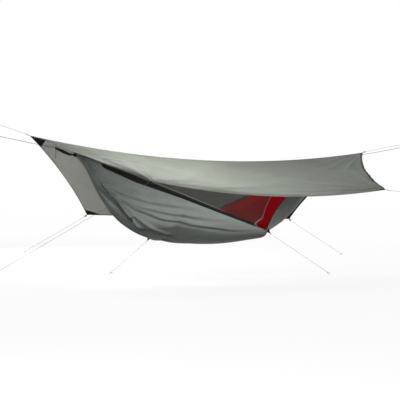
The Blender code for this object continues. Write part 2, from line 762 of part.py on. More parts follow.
def slider_mesh(material):
    """One side of the slider: a channel over the chain, with two lugs and the tab's pin."""
    half, channel = SLIDER_WIDTH / 2, CHAIN_WIDTH / 2 + SLIDER_CLEARANCE
    foot = TAPE_THICKNESS / 2 + SLIDER_CLEARANCE
    roof = CHAIN_HEIGHT / 2 + SLIDER_CLEARANCE
    top = roof + SLIDER_PLATE
    outline = [(-half, foot), (-channel, foot), (-channel, roof), (channel, roof), (channel, foot),
               (half, foot), (half, top), (-half, top)]
    rings = [[(x, y, z) for y, z in outline] for x in (-SLIDER_LENGTH / 2, SLIDER_LENGTH / 2)]
    verts = rings[0] + rings[1]
    count = len(outline)
    faces = [tuple(range(count)), tuple(range(count, 2 * count))[::-1]]
    faces += [(k, k + count, (k + 1) % count + count, (k + 1) % count) for k in range(count)]
    shapes = [(verts, faces)]
    lug_half, lug_out = LUG_LENGTH / 2, LUG_INSIDE / 2 + LUG_WALL
    for side in (-1, 1):
        ys = sorted((side * LUG_INSIDE / 2, side * lug_out))
        shapes.append(box_shape((-lug_half, ys[0], top - SLIDER_PLATE / 2),
                                (lug_half, ys[1], pin_height() + lug_half * LUG_OVER_PIN_SHARE)))
    shapes.append(round_shape(PIN_RADIUS, 2 * lug_out - LUG_WALL, 10, axis="Y",
                              centre=(0, 0, pin_height())))
    return united("slider", shapes, material)


def pin_height():
    """The pin's height over the middle of the chain."""
    return CHAIN_HEIGHT / 2 + SLIDER_PLATE + EYE_RADIUS + 2 * SLIDER_CLEARANCE


def pull_tab_mesh(material):
    """A pull tab along +X, with its eye about the origin."""
    eye = round_shape(EYE_RADIUS, EYE_WIDTH, 16, axis="Y", hole=EYE_INSIDE)
    thick = TAB_THICKNESS / 2
    neck_start = (EYE_INSIDE + EYE_RADIUS) / 2
    neck_wide, neck_thick = EYE_WIDTH / 2 * NECK_SHARE, thick * NECK_SHARE
    neck = box_shape((neck_start, -neck_wide, -neck_thick),
                     (TAB_START + TAB_THICKNESS, neck_wide, neck_thick))
    wide, narrow = TAB_WIDTH / 2, TAB_WIDTH / 2 * TAB_END_SHARE
    bend = TAB_START + TAB_WIDTH / 2
    outline = [(TAB_START, -narrow), (bend, -wide), (TAB_LENGTH - wide, -wide),
               (TAB_LENGTH, -narrow), (TAB_LENGTH, narrow), (TAB_LENGTH - wide, wide),
               (bend, wide), (TAB_START, narrow)]
    verts = [(x, y, z) for z in (-thick, thick) for x, y in outline]
    count = len(outline)
    faces = [tuple(range(count))[::-1], tuple(range(count, 2 * count))]
    faces += [(k, (k + 1) % count, (k + 1) % count + count, k + count) for k in range(count)]
    return united("pull_tab", [eye, neck, (verts, faces)], material)


def build_sliders(metal, tape):
    across = unit(NEAR_RISE - ZIP_RUN * np.dot(NEAR_RISE, ZIP_RUN))
    out = np.cross(ZIP_RUN, across)
    edge = near_line(ZIP_OPEN_X) + NEAR_RISE * TAPE_WIDTH / SLANT / 2
    middle = edge - ZIP_RUN * SLIDER_FROM_OPENING
    slider, tab = slider_mesh(metal), pull_tab_mesh(tape)
    for name, side, hang in (("outer", 1, 0.0), ("inner", -1, INNER_TAB_HANG)):
        turn = Matrix([Vector(ZIP_RUN), Vector(across * side), Vector(out * side)]).transposed()
        add_copy(f"zip_slider_{name}", slider, middle, turn)
        pivot = middle + out * side * pin_height()
        add_copy(f"pull_tab_{name}", tab, pivot, turn @ Matrix.Rotation(-hang, 3, "Y"))
        print(f"{name} pull tab pivot", pivot.round(5), "axis", (across * side).round(5))
    print("slider runs along", (-ZIP_RUN).round(6))


# Ridge cord, gathers, straps, ropes and tie-outs

def build_ridge_cord(material, webbing):
    head, foot = HEAD_GATHER[0], FOOT_GATHER[0]
    xs = np.linspace(head, foot, 31)
    cord("ridge_cord", [ridge_cord_point(x) for x in xs], RIDGE_CORD, material)
    outer = HANG_LOOP_INSIDE + HANG_LOOP_WALL
    angles = np.linspace(0, 2 * np.pi, 12, endpoint=False)
    outlines = [[(r * np.cos(a), (r + HANG_LOOP_DROP) * np.sin(a)) for a in angles]
                for r in (outer, HANG_LOOP_INSIDE)]
    mesh = united("hang_loop", [band_shape(*outlines, HANG_LOOP_WIDTH)], webbing)
    for k, share in enumerate(HANG_LOOP_SHARES):
        place = ridge_cord_point(hang_loop_x(share)) + DOWN * HANG_LOOP_DROP
        add_copy(f"net_hang_loop_{k + 1}", mesh, place, facing((0, 1, 0)))


def build_suspension(end, gather, strap_end, tree, strap, rope, tree_loop):
    """The gather's sleeve, its strap and its rope out to the tree."""
    sense = np.sign(tree[0] - gather[0])
    centre = gather - DOWN * SLEEVE_LIFT
    angles = np.linspace(0, 2 * np.pi, 16, endpoint=False)
    rings = []
    for length_share, radius_share in SLEEVE_PROFILE_SHARES:
        x = centre[0] + sense * (CLEARANCE + SLEEVE_LENGTH * length_share)
        r = SLEEVE_RADIUS * radius_share
        rings.append([(x, r * np.cos(a), centre[2] + r * np.sin(a)) for a in angles])
    swept(f"{end}_gather_sleeve", rings, strap)

    start = np.array((centre[0] + sense * (2 * CLEARANCE + SLEEVE_LENGTH), 0, centre[2]))
    stop = strap_end - np.array((sense * STRAP_TO_ROPE, 0, 0))
    rings, underside = [], []
    for run_share, rise_share, height_share in STRAP_PROFILE_SHARES:
        x = start[0] + (stop[0] - start[0]) * run_share
        z = start[2] + (stop[2] - start[2]) * rise_share
        high, wide = STRAP_HEIGHT / 2 * height_share, STRAP_THICKNESS / 2
        cut = wide * STRAP_CORNER_SHARE
        outline = [(wide, high - cut), (wide - cut, high), (cut - wide, high), (-wide, high - cut)]
        outline += [(-y, -h) for y, h in outline]
        rings.append([(x, y, z + h) for y, h in outline])
        underside.append((x, z - high))
    swept(f"{end}_end_strap", rings, strap)

    route = [bowed(strap_end, tree, share, ROPE_SAG) for share in ROPE_ROUTE_SHARES]
    pull = unit(tree - route[-1])
    print(f"{end} rope pulls along", pull.round(5))
    route.append(tree - pull * loop_reach(ROPE, ROPE_LOOP))
    cord(f"{end}_rope", smooth_route(route, 24), ROPE, rope)
    add_copy(f"{end}_tree_loop", tree_loop, tree, facing(pull))
    return underside


def build_drip_cord(underside, rope):
    """A short cord that hangs from the head strap, so that rain drips off before the hammock."""
    (inner_x, inner_z), (outer_x, outer_z) = underside[-2:]
    x = outer_x + DRIP_BACK
    slope = abs(outer_z - inner_z) / (inner_x - outer_x)
    top = outer_z - slope * (DRIP_BACK + DRIP_CORD / 2) - CLEARANCE
    cord("drip_cord", [(x, 0, top - DRIP_LENGTH * t) for t in np.linspace(0, 1, 16)], DRIP_CORD, rope)


def build_tie_out(side, tie, edge, end, guy_loop, strap, guy_material):
    """A triangle of stiff cloth outside the edge's corner, with its guy line at the tip."""
    end = np.array(end)
    out = unit(end - tie)
    aside = np.array((0, np.sign(tie[1]), 0))
    xs = station_xs()
    k = int(np.argmin(abs(xs - tie[0])))
    corners = [tie + unit(edge(xs[n]) - tie) * TIE_PATCH_SIDE for n in (k - 1, k + 1)]
    points = np.array([corners[0], tie, corners[1]]) + unit(out + aside) * TIE_PATCH_OFF
    tip = tie + out * TIE_PATCH_LENGTH
    points = np.vstack([points, tip])
    half = TIE_PATCH_THICKNESS / 2
    sheet_solid(f"{side}_tie_patch", points, [(0, 3, 1), (1, 3, 2)], -half, half, strap)
    guy_line(f"{side}_tie", tip, out, end, guy_loop, guy_material)


def main():
    for obj in list(bpy.data.objects):
        bpy.data.objects.remove(obj)
    canopy = make_material("fly_cloth", (0.33, 0.35, 0.29), 0.5)
    trim = make_material("black_trim", (0.012, 0.013, 0.012), 0.7)
    body = make_material("hammock_cloth", (0.17, 0.19, 0.17), 0.55)
    lining = make_material("red_lining", (0.45, 0.01, 0.015), 0.5)
    net = make_material("net", (0.05, 0.06, 0.055), 0.8)
    line = make_material("guy_cord", (0.07, 0.07, 0.065), 0.7)
    rope = make_material("rope", (0.02, 0.02, 0.02), 0.7)
    metal = make_material("slider_metal", (0.35, 0.35, 0.36), 0.35, 1.0)

    guy_loop = tied_loop_mesh("guy_loop", GUY_CORD, GUY_LOOP, line)
    tree_loop = tied_loop_mesh("tree_loop", ROPE, ROPE_LOOP, rope)
    build_fly(canopy, trim)
    build_fly_guys(webbing_loop_mesh(trim), guy_loop, line)
    build_cloth(body, lining, net, trim)
    build_zip(trim)
    build_sliders(metal, trim)
    build_ridge_cord(rope, trim)
    head_strap_end = HEAD_GATHER + (-HEAD_STRAP_REACH, 0, HEAD_STRAP_RISE)
    foot_strap_end = FOOT_GATHER + (FOOT_STRAP_REACH, 0, FOOT_STRAP_RISE)
    underside = build_suspension("head", HEAD_GATHER, head_strap_end, HEAD_TREE, trim, rope,
                                 tree_loop)
    build_suspension("foot", FOOT_GATHER, foot_strap_end, FOOT_TREE, trim, rope, tree_loop)
    build_drip_cord(underside, rope)
    build_tie_out("near", NEAR_TIE, hem_point, NEAR_TIE_END, guy_loop, trim, line)
    build_tie_out("far", FAR_TIE, far_line, FAR_TIE_END, guy_loop, trim, line)


main()
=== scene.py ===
import bpy
import numpy as np
from mathutils import Matrix, Vector


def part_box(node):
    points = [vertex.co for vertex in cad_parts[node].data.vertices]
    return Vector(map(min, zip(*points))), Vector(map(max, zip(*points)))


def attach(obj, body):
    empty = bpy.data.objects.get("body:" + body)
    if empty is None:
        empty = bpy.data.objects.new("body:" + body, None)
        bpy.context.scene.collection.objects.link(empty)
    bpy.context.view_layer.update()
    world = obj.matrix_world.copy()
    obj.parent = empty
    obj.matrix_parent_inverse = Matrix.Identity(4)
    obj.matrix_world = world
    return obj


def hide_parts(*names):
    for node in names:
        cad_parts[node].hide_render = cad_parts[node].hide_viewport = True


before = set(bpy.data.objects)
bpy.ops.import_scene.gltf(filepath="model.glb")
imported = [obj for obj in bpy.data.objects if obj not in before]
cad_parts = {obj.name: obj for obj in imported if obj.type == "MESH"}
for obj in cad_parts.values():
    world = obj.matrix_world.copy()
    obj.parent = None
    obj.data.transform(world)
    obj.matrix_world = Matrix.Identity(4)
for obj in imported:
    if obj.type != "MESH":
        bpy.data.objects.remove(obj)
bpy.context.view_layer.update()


# Fly canopy

# The rain fly is a six-cornered sheet of coated nylon: a long awning panel on the near side and a
# short panel on the far side, sewn together along the ridge, which hangs slack between its ends.

FLY_HEAD = np.array((0.350, 0, -0.0025))
FLY_FOOT = np.array((3.850, 0, -0.0895))
FLY_CORNERS = {
    "head": FLY_HEAD, "foot": FLY_FOOT,
    "near_head": np.array((1.000, -1.390, -0.4295)), "near_foot": np.array((3.200, -1.390, -0.4895)),
    "far_head": np.array((1.034, 0.500, -0.7240)), "far_foot": np.array((3.258, 0.500, -0.7805)),
}
FLY_LENGTH, NEAR_WIDTH, FAR_WIDTH = 3.5, 1.46, 0.88
FLY_NARROWING = 0.37  # by which share the side edges are shorter than the ridge
FLY_CLOTH = 0.0008
RIDGE_SAG, NEAR_SIDE_SAG, FAR_SIDE_SAG = 0.1525, 0.090, 0.006
NEAR_HANG, FAR_HANG = 0.030, 0.004  # how far the middle of each panel hangs in
CREASE_AT, CREASE_WIDTH, CREASE_RISE = 0.24, 0.05, 0.031
# The cut inward and the sag of each panel's head edge, and then of its foot edge.
NEAR_ENDS, FAR_ENDS = (0.030, 0.025, 0.085, 0.004), (0.045, 0, 0.085, 0)
# Fans of folds on the near panel: how high, from which of its edges and ends, and then how wide in
# radians, how long, how many and their phase.
FOLD_FANS = ((0.0200, "side", "head", 1.05, 1.70, 7, 0.4), (0.0110, "side", "foot", 1.2, 1.00, 7, 1.1),
             (0.0120, "ridge", "head", 1.2, 0.80, 7, 0.2), (0.0045, "ridge", "foot", 1.2, 0.90, 6, 0.9))
DOWN = np.array((0, 0, -1.0))


def unit(vector):
    vector = np.asarray(vector, float)
    return vector / np.linalg.norm(vector, axis=-1, keepdims=True)


def side_of(near):
    return "near" if near else "far"


def bowed(start, end, t, sag, inward=0.0):
    """Points of an edge that sags, and is cut inward, between its ends."""
    t = np.asarray(t, float)[..., None]
    return start + (end - start) * t + (DOWN * sag + inward) * 4 * t * (1 - t)


def folds_from(across, along, spread, reach, count, phase):
    """Shallow folds that fan out from a pulled corner and die away."""
    angle = np.arctan2(across, along + 1e-6)
    away = np.hypot(across, along)
    rise = np.minimum(1, away / 0.10) * np.exp(-(away / reach) ** 2)
    return rise * np.maximum(0, np.sin(angle / spread * count * np.pi + phase)) ** 2


def fly_relief(near, s, t):
    """How far the cloth stands up in folds and soft waves."""
    free = np.clip(t / 0.12, 0, 1) * np.clip((1 - t) / 0.03, 0, 1)
    length = FLY_LENGTH * (1 - FLY_NARROWING * t)
    x, y = s * length, t * (NEAR_WIDTH if near else FAR_WIDTH)
    waves = (np.sin(5.1 * x + 2.3 * y + 0.7) + np.sin(8.3 * x - 3.7 * y + 1.9)
             + 0.6 * np.sin(14.9 * x + 6.1 * y) * np.sin(7.7 * y + 0.4))
    if not near:
        return 0.0012 * waves * free
    relief = 0.0026 * waves
    for high, edge, end, *fan in FOLD_FANS:
        relief += high * folds_from(y if edge == "ridge" else (1 - t) * NEAR_WIDTH,
                                    x if end == "head" else (1 - s) * length, *fan)
    puckers = np.exp(-(1 - s) * length / 0.10) * np.sin(t * 2 * np.pi * 11) * np.sin(np.pi * t)
    return (relief + 0.0030 * puckers) * free


def fly_point(near, s, t):
    """Points of a panel: s from head to foot, t from the ridge down to the side edge."""
    s, t = np.broadcast_arrays(np.asarray(s, float), np.asarray(t, float))
    head_side, foot_side = (FLY_CORNERS[f"{side_of(near)}_{end}"] for end in ("head", "foot"))
    along = unit(FLY_FOOT - FLY_HEAD)
    head_cut, head_sag, foot_cut, foot_sag = NEAR_ENDS if near else FAR_ENDS
    head_edge = bowed(FLY_HEAD, head_side, t, head_sag, along * head_cut)
    foot_edge = bowed(FLY_FOOT, foot_side, t, foot_sag, -along * foot_cut)
    side_edge = bowed(head_side, foot_side, s, NEAR_SIDE_SAG if near else FAR_SIDE_SAG)
    ridge = bowed(FLY_HEAD, FLY_FOOT, s, RIDGE_SAG)
    a, b = s[..., None], t[..., None]
    point = ((1 - b) * ridge + b * side_edge + (1 - a) * head_edge + a * foot_edge
             - (1 - a) * ((1 - b) * FLY_HEAD + b * head_side) - a * ((1 - b) * FLY_FOOT + b * foot_side))
    middle = 16 * a * (1 - a) * b * (1 - b)
    if near:
        off = (a - CREASE_AT * (1 - b)) / CREASE_WIDTH
        crease = CREASE_RISE * np.exp(-np.sqrt(off ** 2 + 0.02)) * 4 * b * (1 - b)
        point = point + DOWN * (NEAR_HANG * middle - crease)
    else:
        point = point - np.array((0, 1, 1)) * FAR_HANG * middle
    return point - DOWN * fly_relief(near, s, t)[..., None]


def fly_lifted(near, s, t, lift):
    """Points this far above a panel's cloth, or below it where the lift is negative."""
    step = 1e-3
    along = fly_point(near, np.clip(s + step, 0, 1), t) - fly_point(near, np.clip(s - step, 0, 1), t)
    across = fly_point(near, s, np.clip(t + step, 0, 1)) - fly_point(near, s, np.clip(t - step, 0, 1))
    normal = unit(np.cross(along, across))
    return fly_point(near, s, t) + normal * np.sign(normal[..., 2:3]) * lift


def fill_inputs(tree, node, inputs):
    """Sets a node's inputs to numbers or colours, or links them to other nodes' sockets."""
    for key, value in inputs.items():
        if isinstance(value, bpy.types.NodeSocket):
            tree.links.new(value, node.inputs[key])
        else:
            node.inputs[key].default_value = value
    return node


def add_node(tree, kind, inputs=(), **settings):
    """A node with these settings and inputs."""
    made = tree.nodes.new(kind)
    for key, value in settings.items():
        setattr(made, key, value)
    return fill_inputs(tree, made, dict(inputs))


def calc(tree, operation, *values):
    """The socket of a Math node."""
    return add_node(tree, "ShaderNodeMath", dict(enumerate(values)), operation=operation).outputs[0]


def ripple(tree, value, rate):
    """The sine of a value times a rate."""
    return calc(tree, "SINE", calc(tree, "MULTIPLY", value, rate))


def noise(tree, place, scale, detail=2.0, roughness=0.5):
    """The socket of a Noise Texture node."""
    return add_node(tree, "ShaderNodeTexNoise", {"Vector": place, "Scale": scale, "Detail": detail,
                                                 "Roughness": roughness}).outputs[0]


def scaled(tree, colour, share):
    """A colour or place times a number."""
    return add_node(tree, "ShaderNodeVectorMath", {0: colour, "Scale": share}, operation="SCALE").outputs[0]


def cloth_place(tree):
    """The place on a piece from its UV map, in metres."""
    return add_node(tree, "ShaderNodeUVMap", uv_map="cloth").outputs[0]


def split(tree, place):
    """A place's parts, along and across."""
    return add_node(tree, "ShaderNodeSeparateXYZ", {0: place}).outputs


def new_group(name, inputs, outputs):
    """A shader node group with named sockets, and its input and output nodes."""
    group = bpy.data.node_groups.new(name, "ShaderNodeTree")
    kinds = {"v": "NodeSocketVector", "f": "NodeSocketFloat"}
    for way, sockets in (("INPUT", inputs), ("OUTPUT", outputs)):
        for key, kind in sockets:
            group.interface.new_socket(key, in_out=way, socket_type=kinds[kind])
    return group, group.nodes.new("NodeGroupInput").outputs, group.nodes.new("NodeGroupOutput").inputs


def grouped(tree, group, **inputs):
    """The outputs of a node group placed in this tree, with its inputs set or linked."""
    made = tree.nodes.new("ShaderNodeGroup")
    made.node_tree = group
    return fill_inputs(tree, made, inputs).outputs


def new_material(name, roughness, **sockets):
    """A material, its node tree and its Principled BSDF with its plain values set."""
    material = bpy.data.materials.new(name)
    material.use_nodes = True
    tree = material.node_tree
    shader = tree.nodes["Principled BSDF"]
    fill_inputs(tree, shader, {"Roughness": roughness,
                               **{key.replace("_", " "): value for key, value in sockets.items()}})
    return material, tree, shader


def bump(tree, shader, height, distance):
    """Feeds a height to the shader's normal; the distance in metres is for a height of 1."""
    made = add_node(tree, "ShaderNodeBump", {"Height": height, "Distance": distance, "Strength": 1.0})
    tree.links.new(made.outputs[0], shader.inputs["Normal"])


def mixed(tree, share, first, second):
    """The colour between two colours, which are sockets or red, green and blue, at a share."""
    ends = [end if isinstance(end, bpy.types.NodeSocket) else (*end, 1) for end in (first, second)]
    return add_node(tree, "ShaderNodeMix", {"Factor": share, 6: ends[0], 7: ends[1]},
                    data_type="RGBA").outputs[2]


def make_weave_group():
    """Plain weave: a height from crossing threads, and a slow mottle of the dye."""
    group, source, out = new_group("weave", [("Place", "v"), ("Pitch", "f")],
                                   [("Height", "f"), ("Mottle", "f")])
    parts = split(group, source["Place"])
    rate = calc(group, "DIVIDE", 2 * np.pi, source["Pitch"])
    warp, weft = ripple(group, parts[0], rate), ripple(group, parts[1], rate)
    group.links.new(calc(group, "MULTIPLY", warp, weft), out["Height"])
    group.links.new(noise(group, source["Place"], 9.0, 5.0, 0.6), out["Mottle"])
    return group


def make_crumple_group():
    """Soft creases left by packing the cloth, as a height."""
    group, source, out = new_group("crumple", [("Place", "v"), ("Scale", "f")], [("Height", "f")])
    warp = add_node(group, "ShaderNodeTexNoise", {"Vector": source["Place"], "Scale": 3.0, "Detail": 2.0})
    shift = scaled(group, warp.outputs[1], 0.25)
    place = add_node(group, "ShaderNodeVectorMath", {0: source["Place"], 1: shift}).outputs[0]
    coarse = noise(group, place, source["Scale"], 3.0, 0.55)
    ridge = calc(group, "ABSOLUTE", calc(group, "SUBTRACT", coarse, 0.5))
    group.links.new(calc(group, "POWER", ridge, 0.7), out["Height"])
    return group


def make_stitch_group():
    """A line of stitches: a mask and a height from the distance to the line and the way along it."""
    group, source, out = new_group("stitches", [("Across", "f"), ("Along", "f"), ("Pitch", "f"),
                                                ("Width", "f")], [("Mask", "f"), ("Height", "f")])
    off = calc(group, "DIVIDE", calc(group, "ABSOLUTE", source["Across"]), source["Width"])
    near = calc(group, "MAXIMUM", calc(group, "SUBTRACT", 1.0, off), 0.0)
    wave = ripple(group, source["Along"], calc(group, "DIVIDE", 2 * np.pi, source["Pitch"]))
    dash = calc(group, "SMOOTH_MAX", calc(group, "ADD", wave, 0.4), 0.0, 0.2)
    mask = calc(group, "MULTIPLY", calc(group, "MINIMUM", calc(group, "MULTIPLY", near, 2.0), 1.0),
                calc(group, "MINIMUM", dash, 1.0))
    group.links.new(mask, out["Mask"])
    group.links.new(calc(group, "SUBTRACT", mask, calc(group, "MULTIPLY", near, 0.8)), out["Height"])
    return group


WEAVE, CRUMPLE, STITCH = make_weave_group(), make_crumple_group(), make_stitch_group()

THREAD_HEIGHT = 0.00012


def cloth_material(name, colour, shade, roughness, pitch, creases, **sockets):
    """Woven cloth in two tones of its dye, with its weave and packing creases raised; the weave's low threads
    are painted a little darker, a painted shade.
    """
    material, tree, shader = new_material(name, roughness, **sockets)
    place = cloth_place(tree)
    weave = grouped(tree, WEAVE, Place=place, Pitch=pitch)
    crease_scale, crease_height = creases
    crumple = calc(tree, "MULTIPLY", grouped(tree, CRUMPLE, Place=place, Scale=crease_scale)["Height"],
                   crease_height)
    share = calc(tree, "MULTIPLY_ADD", weave["Mottle"], 1.6, -0.3)
    # Painted shade: the weave's low threads take more of the darker tone than its raised threads.
    share = calc(tree, "MULTIPLY_ADD", weave["Height"], 0.12, share)
    tree.links.new(mixed(tree, share, shade, colour), shader.inputs["Base Color"])
    tree.links.new(calc(tree, "MULTIPLY_ADD", weave["Mottle"], 0.16, roughness - 0.08),
                   shader.inputs["Roughness"])
    bump(tree, shader, calc(tree, "MULTIPLY_ADD", weave["Height"], THREAD_HEIGHT, crumple), 1.0)
    return material


def mesh_piece(name, verts, faces, uvs, *materials):
    """A smooth mesh with a UV map, cloth, that is in metres."""
    mesh = bpy.data.meshes.new(name)
    mesh.from_pydata(np.asarray(verts, float).reshape(-1, 3).tolist(), [],
                     [tuple(int(k) for k in face) for face in faces])
    loops = np.zeros(len(mesh.loops), int)
    mesh.loops.foreach_get("vertex_index", loops)
    uvs = np.asarray(uvs, float).reshape(-1, 2)
    mesh.uv_layers.new(name="cloth").data.foreach_set("uv", uvs[loops].astype(np.float32).ravel())
    for material in materials:
        mesh.materials.append(material)
    mesh.shade_smooth()
    obj = bpy.data.objects.new(name, mesh)
    bpy.context.scene.collection.objects.link(obj)
    return obj


def sheet_piece(name, points, uvs, thickness, *materials, turn=False):
    """A sheet over a grid of points, solid where it has a thickness; turn faces it the other way."""
    rows, cols = points.shape[:2]
    at = np.arange(rows * cols).reshape(rows, cols)
    quads = np.stack([at[:-1, :-1], at[1:, :-1], at[1:, 1:], at[:-1, 1:]], axis=-1).reshape(-1, 4)
    obj = mesh_piece(name, points, quads[:, ::-1] if turn else quads, uvs, *materials)
    if thickness:
        solid = obj.modifiers.new("thickness", "SOLIDIFY")
        solid.thickness, solid.offset, solid.material_offset = thickness, 0, len(materials) - 1
    return obj


def run_of(points):
    """The distance along a line of points, from its start."""
    steps = np.linalg.norm(np.diff(points, axis=0), axis=1)
    return np.concatenate([[0], np.cumsum(steps)])


def grid_uvs(along, across):
    """UVs of a grid: along for its rows, and across for its columns or for every point."""
    return np.stack(np.broadcast_arrays(along[:, None], across), axis=-1)


def band_piece(name, low, high, columns, thickness, material):
    """A band of cloth between two lines, with its UVs along and across it in metres."""
    shares = np.linspace(0, 1, columns)
    points = low[:, None] + (high - low)[:, None] * shares[None, :, None]
    width = np.linalg.norm(high - low, axis=1)
    return sheet_piece(name, points, grid_uvs(run_of((low + high) / 2), width[:, None] * shares), thickness,
                       material)


def fit(obj, slot, *nodes):
    """The piece rides on the tent's body, and stands for the CAD nodes that it replaces."""
    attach(obj, "tent")
    if nodes:
        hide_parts(*nodes)
    return obj


fly_look = {"pitch": 0.0008, "creases": (11.0, 0.0016), "Subsurface_Radius": (1.0, 1.0, 1.0),
            "Subsurface_Scale": 0.004}
fly_outer = cloth_material("fly_outer", (0.272, 0.304, 0.262), (0.230, 0.258, 0.222), 0.45,
                           Specular_IOR_Level=0.03, Subsurface_Weight=0.5, **fly_look)
fly_inner = cloth_material("fly_inner", (0.285, 0.295, 0.262), (0.245, 0.252, 0.225), 0.60,
                           Specular_IOR_Level=0.05, Subsurface_Weight=0.8, **fly_look)
fly_columns = [(True, t) for t in np.linspace(1, 0, 76)] + [(False, t) for t in np.linspace(0, 1, 41)[1:]]
fly_s = np.linspace(0, 1, 226)
fly_grid = np.stack([fly_point(near, fly_s, np.full_like(fly_s, t)) for near, t in fly_columns], axis=1)
fly_across = np.array([t * NEAR_WIDTH if near else -t * FAR_WIDTH for near, t in fly_columns])
fly_canopy = sheet_piece("fly_canopy_cloth", fly_grid, grid_uvs(fly_s * FLY_LENGTH, fly_across), FLY_CLOTH,
                         fly_outer, fly_inner)
fit(fly_canopy, "fly_cloth", "fly_canopy")


# Fly seams and hems

# The two panels overlap in a flat seam along the ridge with two rows of stitching. The side edges
# and the head edges are folded hems of the same cloth, and the foot edge has a thin dark binding.

FOLD_ROUND = 0.0006  # how far in a folded edge reaches its full thickness
SEAM_ROWS = ((False, 0.0075), (False, 0.003), (True, 0.003), (True, 0.0075))  # whether near, and how far down
SEAM_ACROSS, SEAM_LIFT = np.array((0, 0.0045, 0.0095, 0.014)), 0.0013


def stitched_material(name, colour, thread_colour, roughness, lines, sheen=0.1):
    """A folded band of cloth, with stitch lines at these distances across it."""
    material, tree, shader = new_material(name, roughness, Specular_IOR_Level=0.10, Sheen_Weight=sheen,
                                          Sheen_Roughness=0.4)
    place = cloth_place(tree)
    parts = split(tree, place)
    weave = grouped(tree, WEAVE, Place=place, Pitch=0.0009)
    mask, height = 0.0, calc(tree, "MULTIPLY", weave["Height"], 0.1)
    for line in lines:
        stitch = grouped(tree, STITCH, Across=calc(tree, "SUBTRACT", parts[1], line), Along=parts[0],
                         Pitch=0.0032, Width=0.0009)
        mask = calc(tree, "MAXIMUM", mask, stitch["Mask"])
        height = calc(tree, "ADD", height, stitch["Height"])
    base = scaled(tree, colour, calc(tree, "MULTIPLY_ADD", weave["Mottle"], 0.5, 0.75))
    tree.links.new(mixed(tree, mask, base, thread_colour), shader.inputs["Base Color"])
    bump(tree, shader, height, 0.0006)
    return material


hem_cloth = stitched_material("fly_hem", (0.30, 0.315, 0.26), (0.10, 0.11, 0.09), 0.5, (0.0105, 0.0035))
foot_binding = stitched_material("fly_binding", (0.014, 0.016, 0.014), (0.05, 0.05, 0.045), 0.65, (0.0040,))


def hem_piece(name, near, end, width, lift, material):
    """A folded hem: a flattened tube that holds the cloth's edge."""
    inward = np.array((0, FOLD_ROUND, width, width, FOLD_ROUND, 0))
    lifts = lift * np.array((0, 1, 1, -1, -1, 0))[:, None]
    run = np.linspace(0, 1, 161)[:, None]
    if end == "side":
        s, t = run, 1 - inward / (NEAR_WIDTH if near else FAR_WIDTH)
    else:
        share = inward / (FLY_LENGTH * (1 - FLY_NARROWING * run))
        s, t = share if end == "head" else 1 - share, run
    points = fly_lifted(near, s, t, lifts)
    obj = sheet_piece(name, points, grid_uvs(run_of(points[:, 0]), inward), 0, material)
    obj.data.set_sharp_from_angle(angle=np.radians(50))
    return obj


fly_trims = []
for end, kind, width, lift, cloth in (("side", "hem", 0.013, 0.0011, hem_cloth),
                                      ("head", "hem", 0.013, 0.0011, hem_cloth),
                                      ("foot", "binding", 0.022, 0.0018, foot_binding)):
    for near in (True, False):
        name = f"fly_{side_of(near)}_{end}_{kind}"
        fly_trims.append(hem_piece(name, near, end, width, lift, cloth))
seam_s = np.linspace(0.002, 0.998, 161)
seam_lines = [fly_lifted(near, seam_s, away / (NEAR_WIDTH if near else FAR_WIDTH), SEAM_LIFT)
              for near, away in SEAM_ROWS]
fly_trims.append(sheet_piece("fly_ridge_seam", np.stack(seam_lines, axis=1),
                             grid_uvs(seam_s * FLY_LENGTH, SEAM_ACROSS), FLY_CLOTH, hem_cloth))
for trim in fly_trims:
    fit(trim, "fly_cloth")


# Fly corner patches

# A triangle of stiff black cloth is sewn under each corner, where the guy line pulls. At the ridge
# ends one patch covers both panels.

PATCHES = {  # how far each reaches along the ridge or side edge, and along the end edge
    "head": (0.150, 0.155), "foot": (0.120, 0.060), "near_head": (0.060, 0.070), "near_foot": (0.110, 0.040),
    "far_head": (0.155, 0.085), "far_foot": (0.110, 0.120),
}
TURNED_EDGE, TURNED_LIFT = (0.120, 0.022), 0.0020  # of the near foot patch, turned up over the cloth
PATCH_CLOTH, PATCH_LIFT, SIDE_LENGTH = 0.0009, -0.0016, 2.2
black_cloth = stitched_material("black_cloth", (0.0100, 0.0105, 0.0090), (0.035, 0.035, 0.032), 0.70,
                                (0.004, 0.009), sheen=0.03)


def patch_half(near, end, reach, at_ridge, lift=PATCH_LIFT):
    """Points and UVs of half a patch: a triangle from its corner to two points on the cloth's edges."""
    edge = np.linalg.norm(FLY_CORNERS[f"{side_of(near)}_{end}"] - FLY_CORNERS[end])
    length = FLY_LENGTH if at_ridge else SIDE_LENGTH
    out, turn = np.meshgrid(np.linspace(0.03, 1, 10), np.linspace(0.01, 0.99, 10), indexing="ij")
    along, up = reach[0] * out * (1 - turn), reach[1] * out * turn
    s, t = along / length + 0.001, up / edge
    points = fly_lifted(near, s if end == "head" else 1 - s, t if at_ridge else 1 - t - 0.003, lift)
    return points, np.stack([along, up], axis=-1)


def add_patch(name, points, uvs, *nodes):
    patch = sheet_piece(name, points, uvs, PATCH_CLOTH, black_cloth)
    fly_trims.append(fit(patch, "black_trim", *nodes))


for end in ("head", "foot"):
    for near in (True, False):
        corner = f"{side_of(near)}_{end}"
        add_patch(f"fly_{corner}_patch_cloth", *patch_half(near, end, PATCHES[corner], False),
                  f"fly_{corner}_patch")
    near_half, far_half = (patch_half(near, end, PATCHES[end], True) for near in (True, False))
    both = [np.concatenate([first[:, ::-1], second], axis=1) for first, second in zip(near_half, far_half)]
    add_patch(f"fly_{end}_patch_cloth", *both, f"fly_{end}_patch")
add_patch("fly_near_foot_patch_turned_edge", *patch_half(True, "foot", TURNED_EDGE, False, TURNED_LIFT))


# Webbing loops

# A loop of black webbing is bar-tacked to each corner of the fly and takes its guy line. Its two
# layers part into a rounded eye.

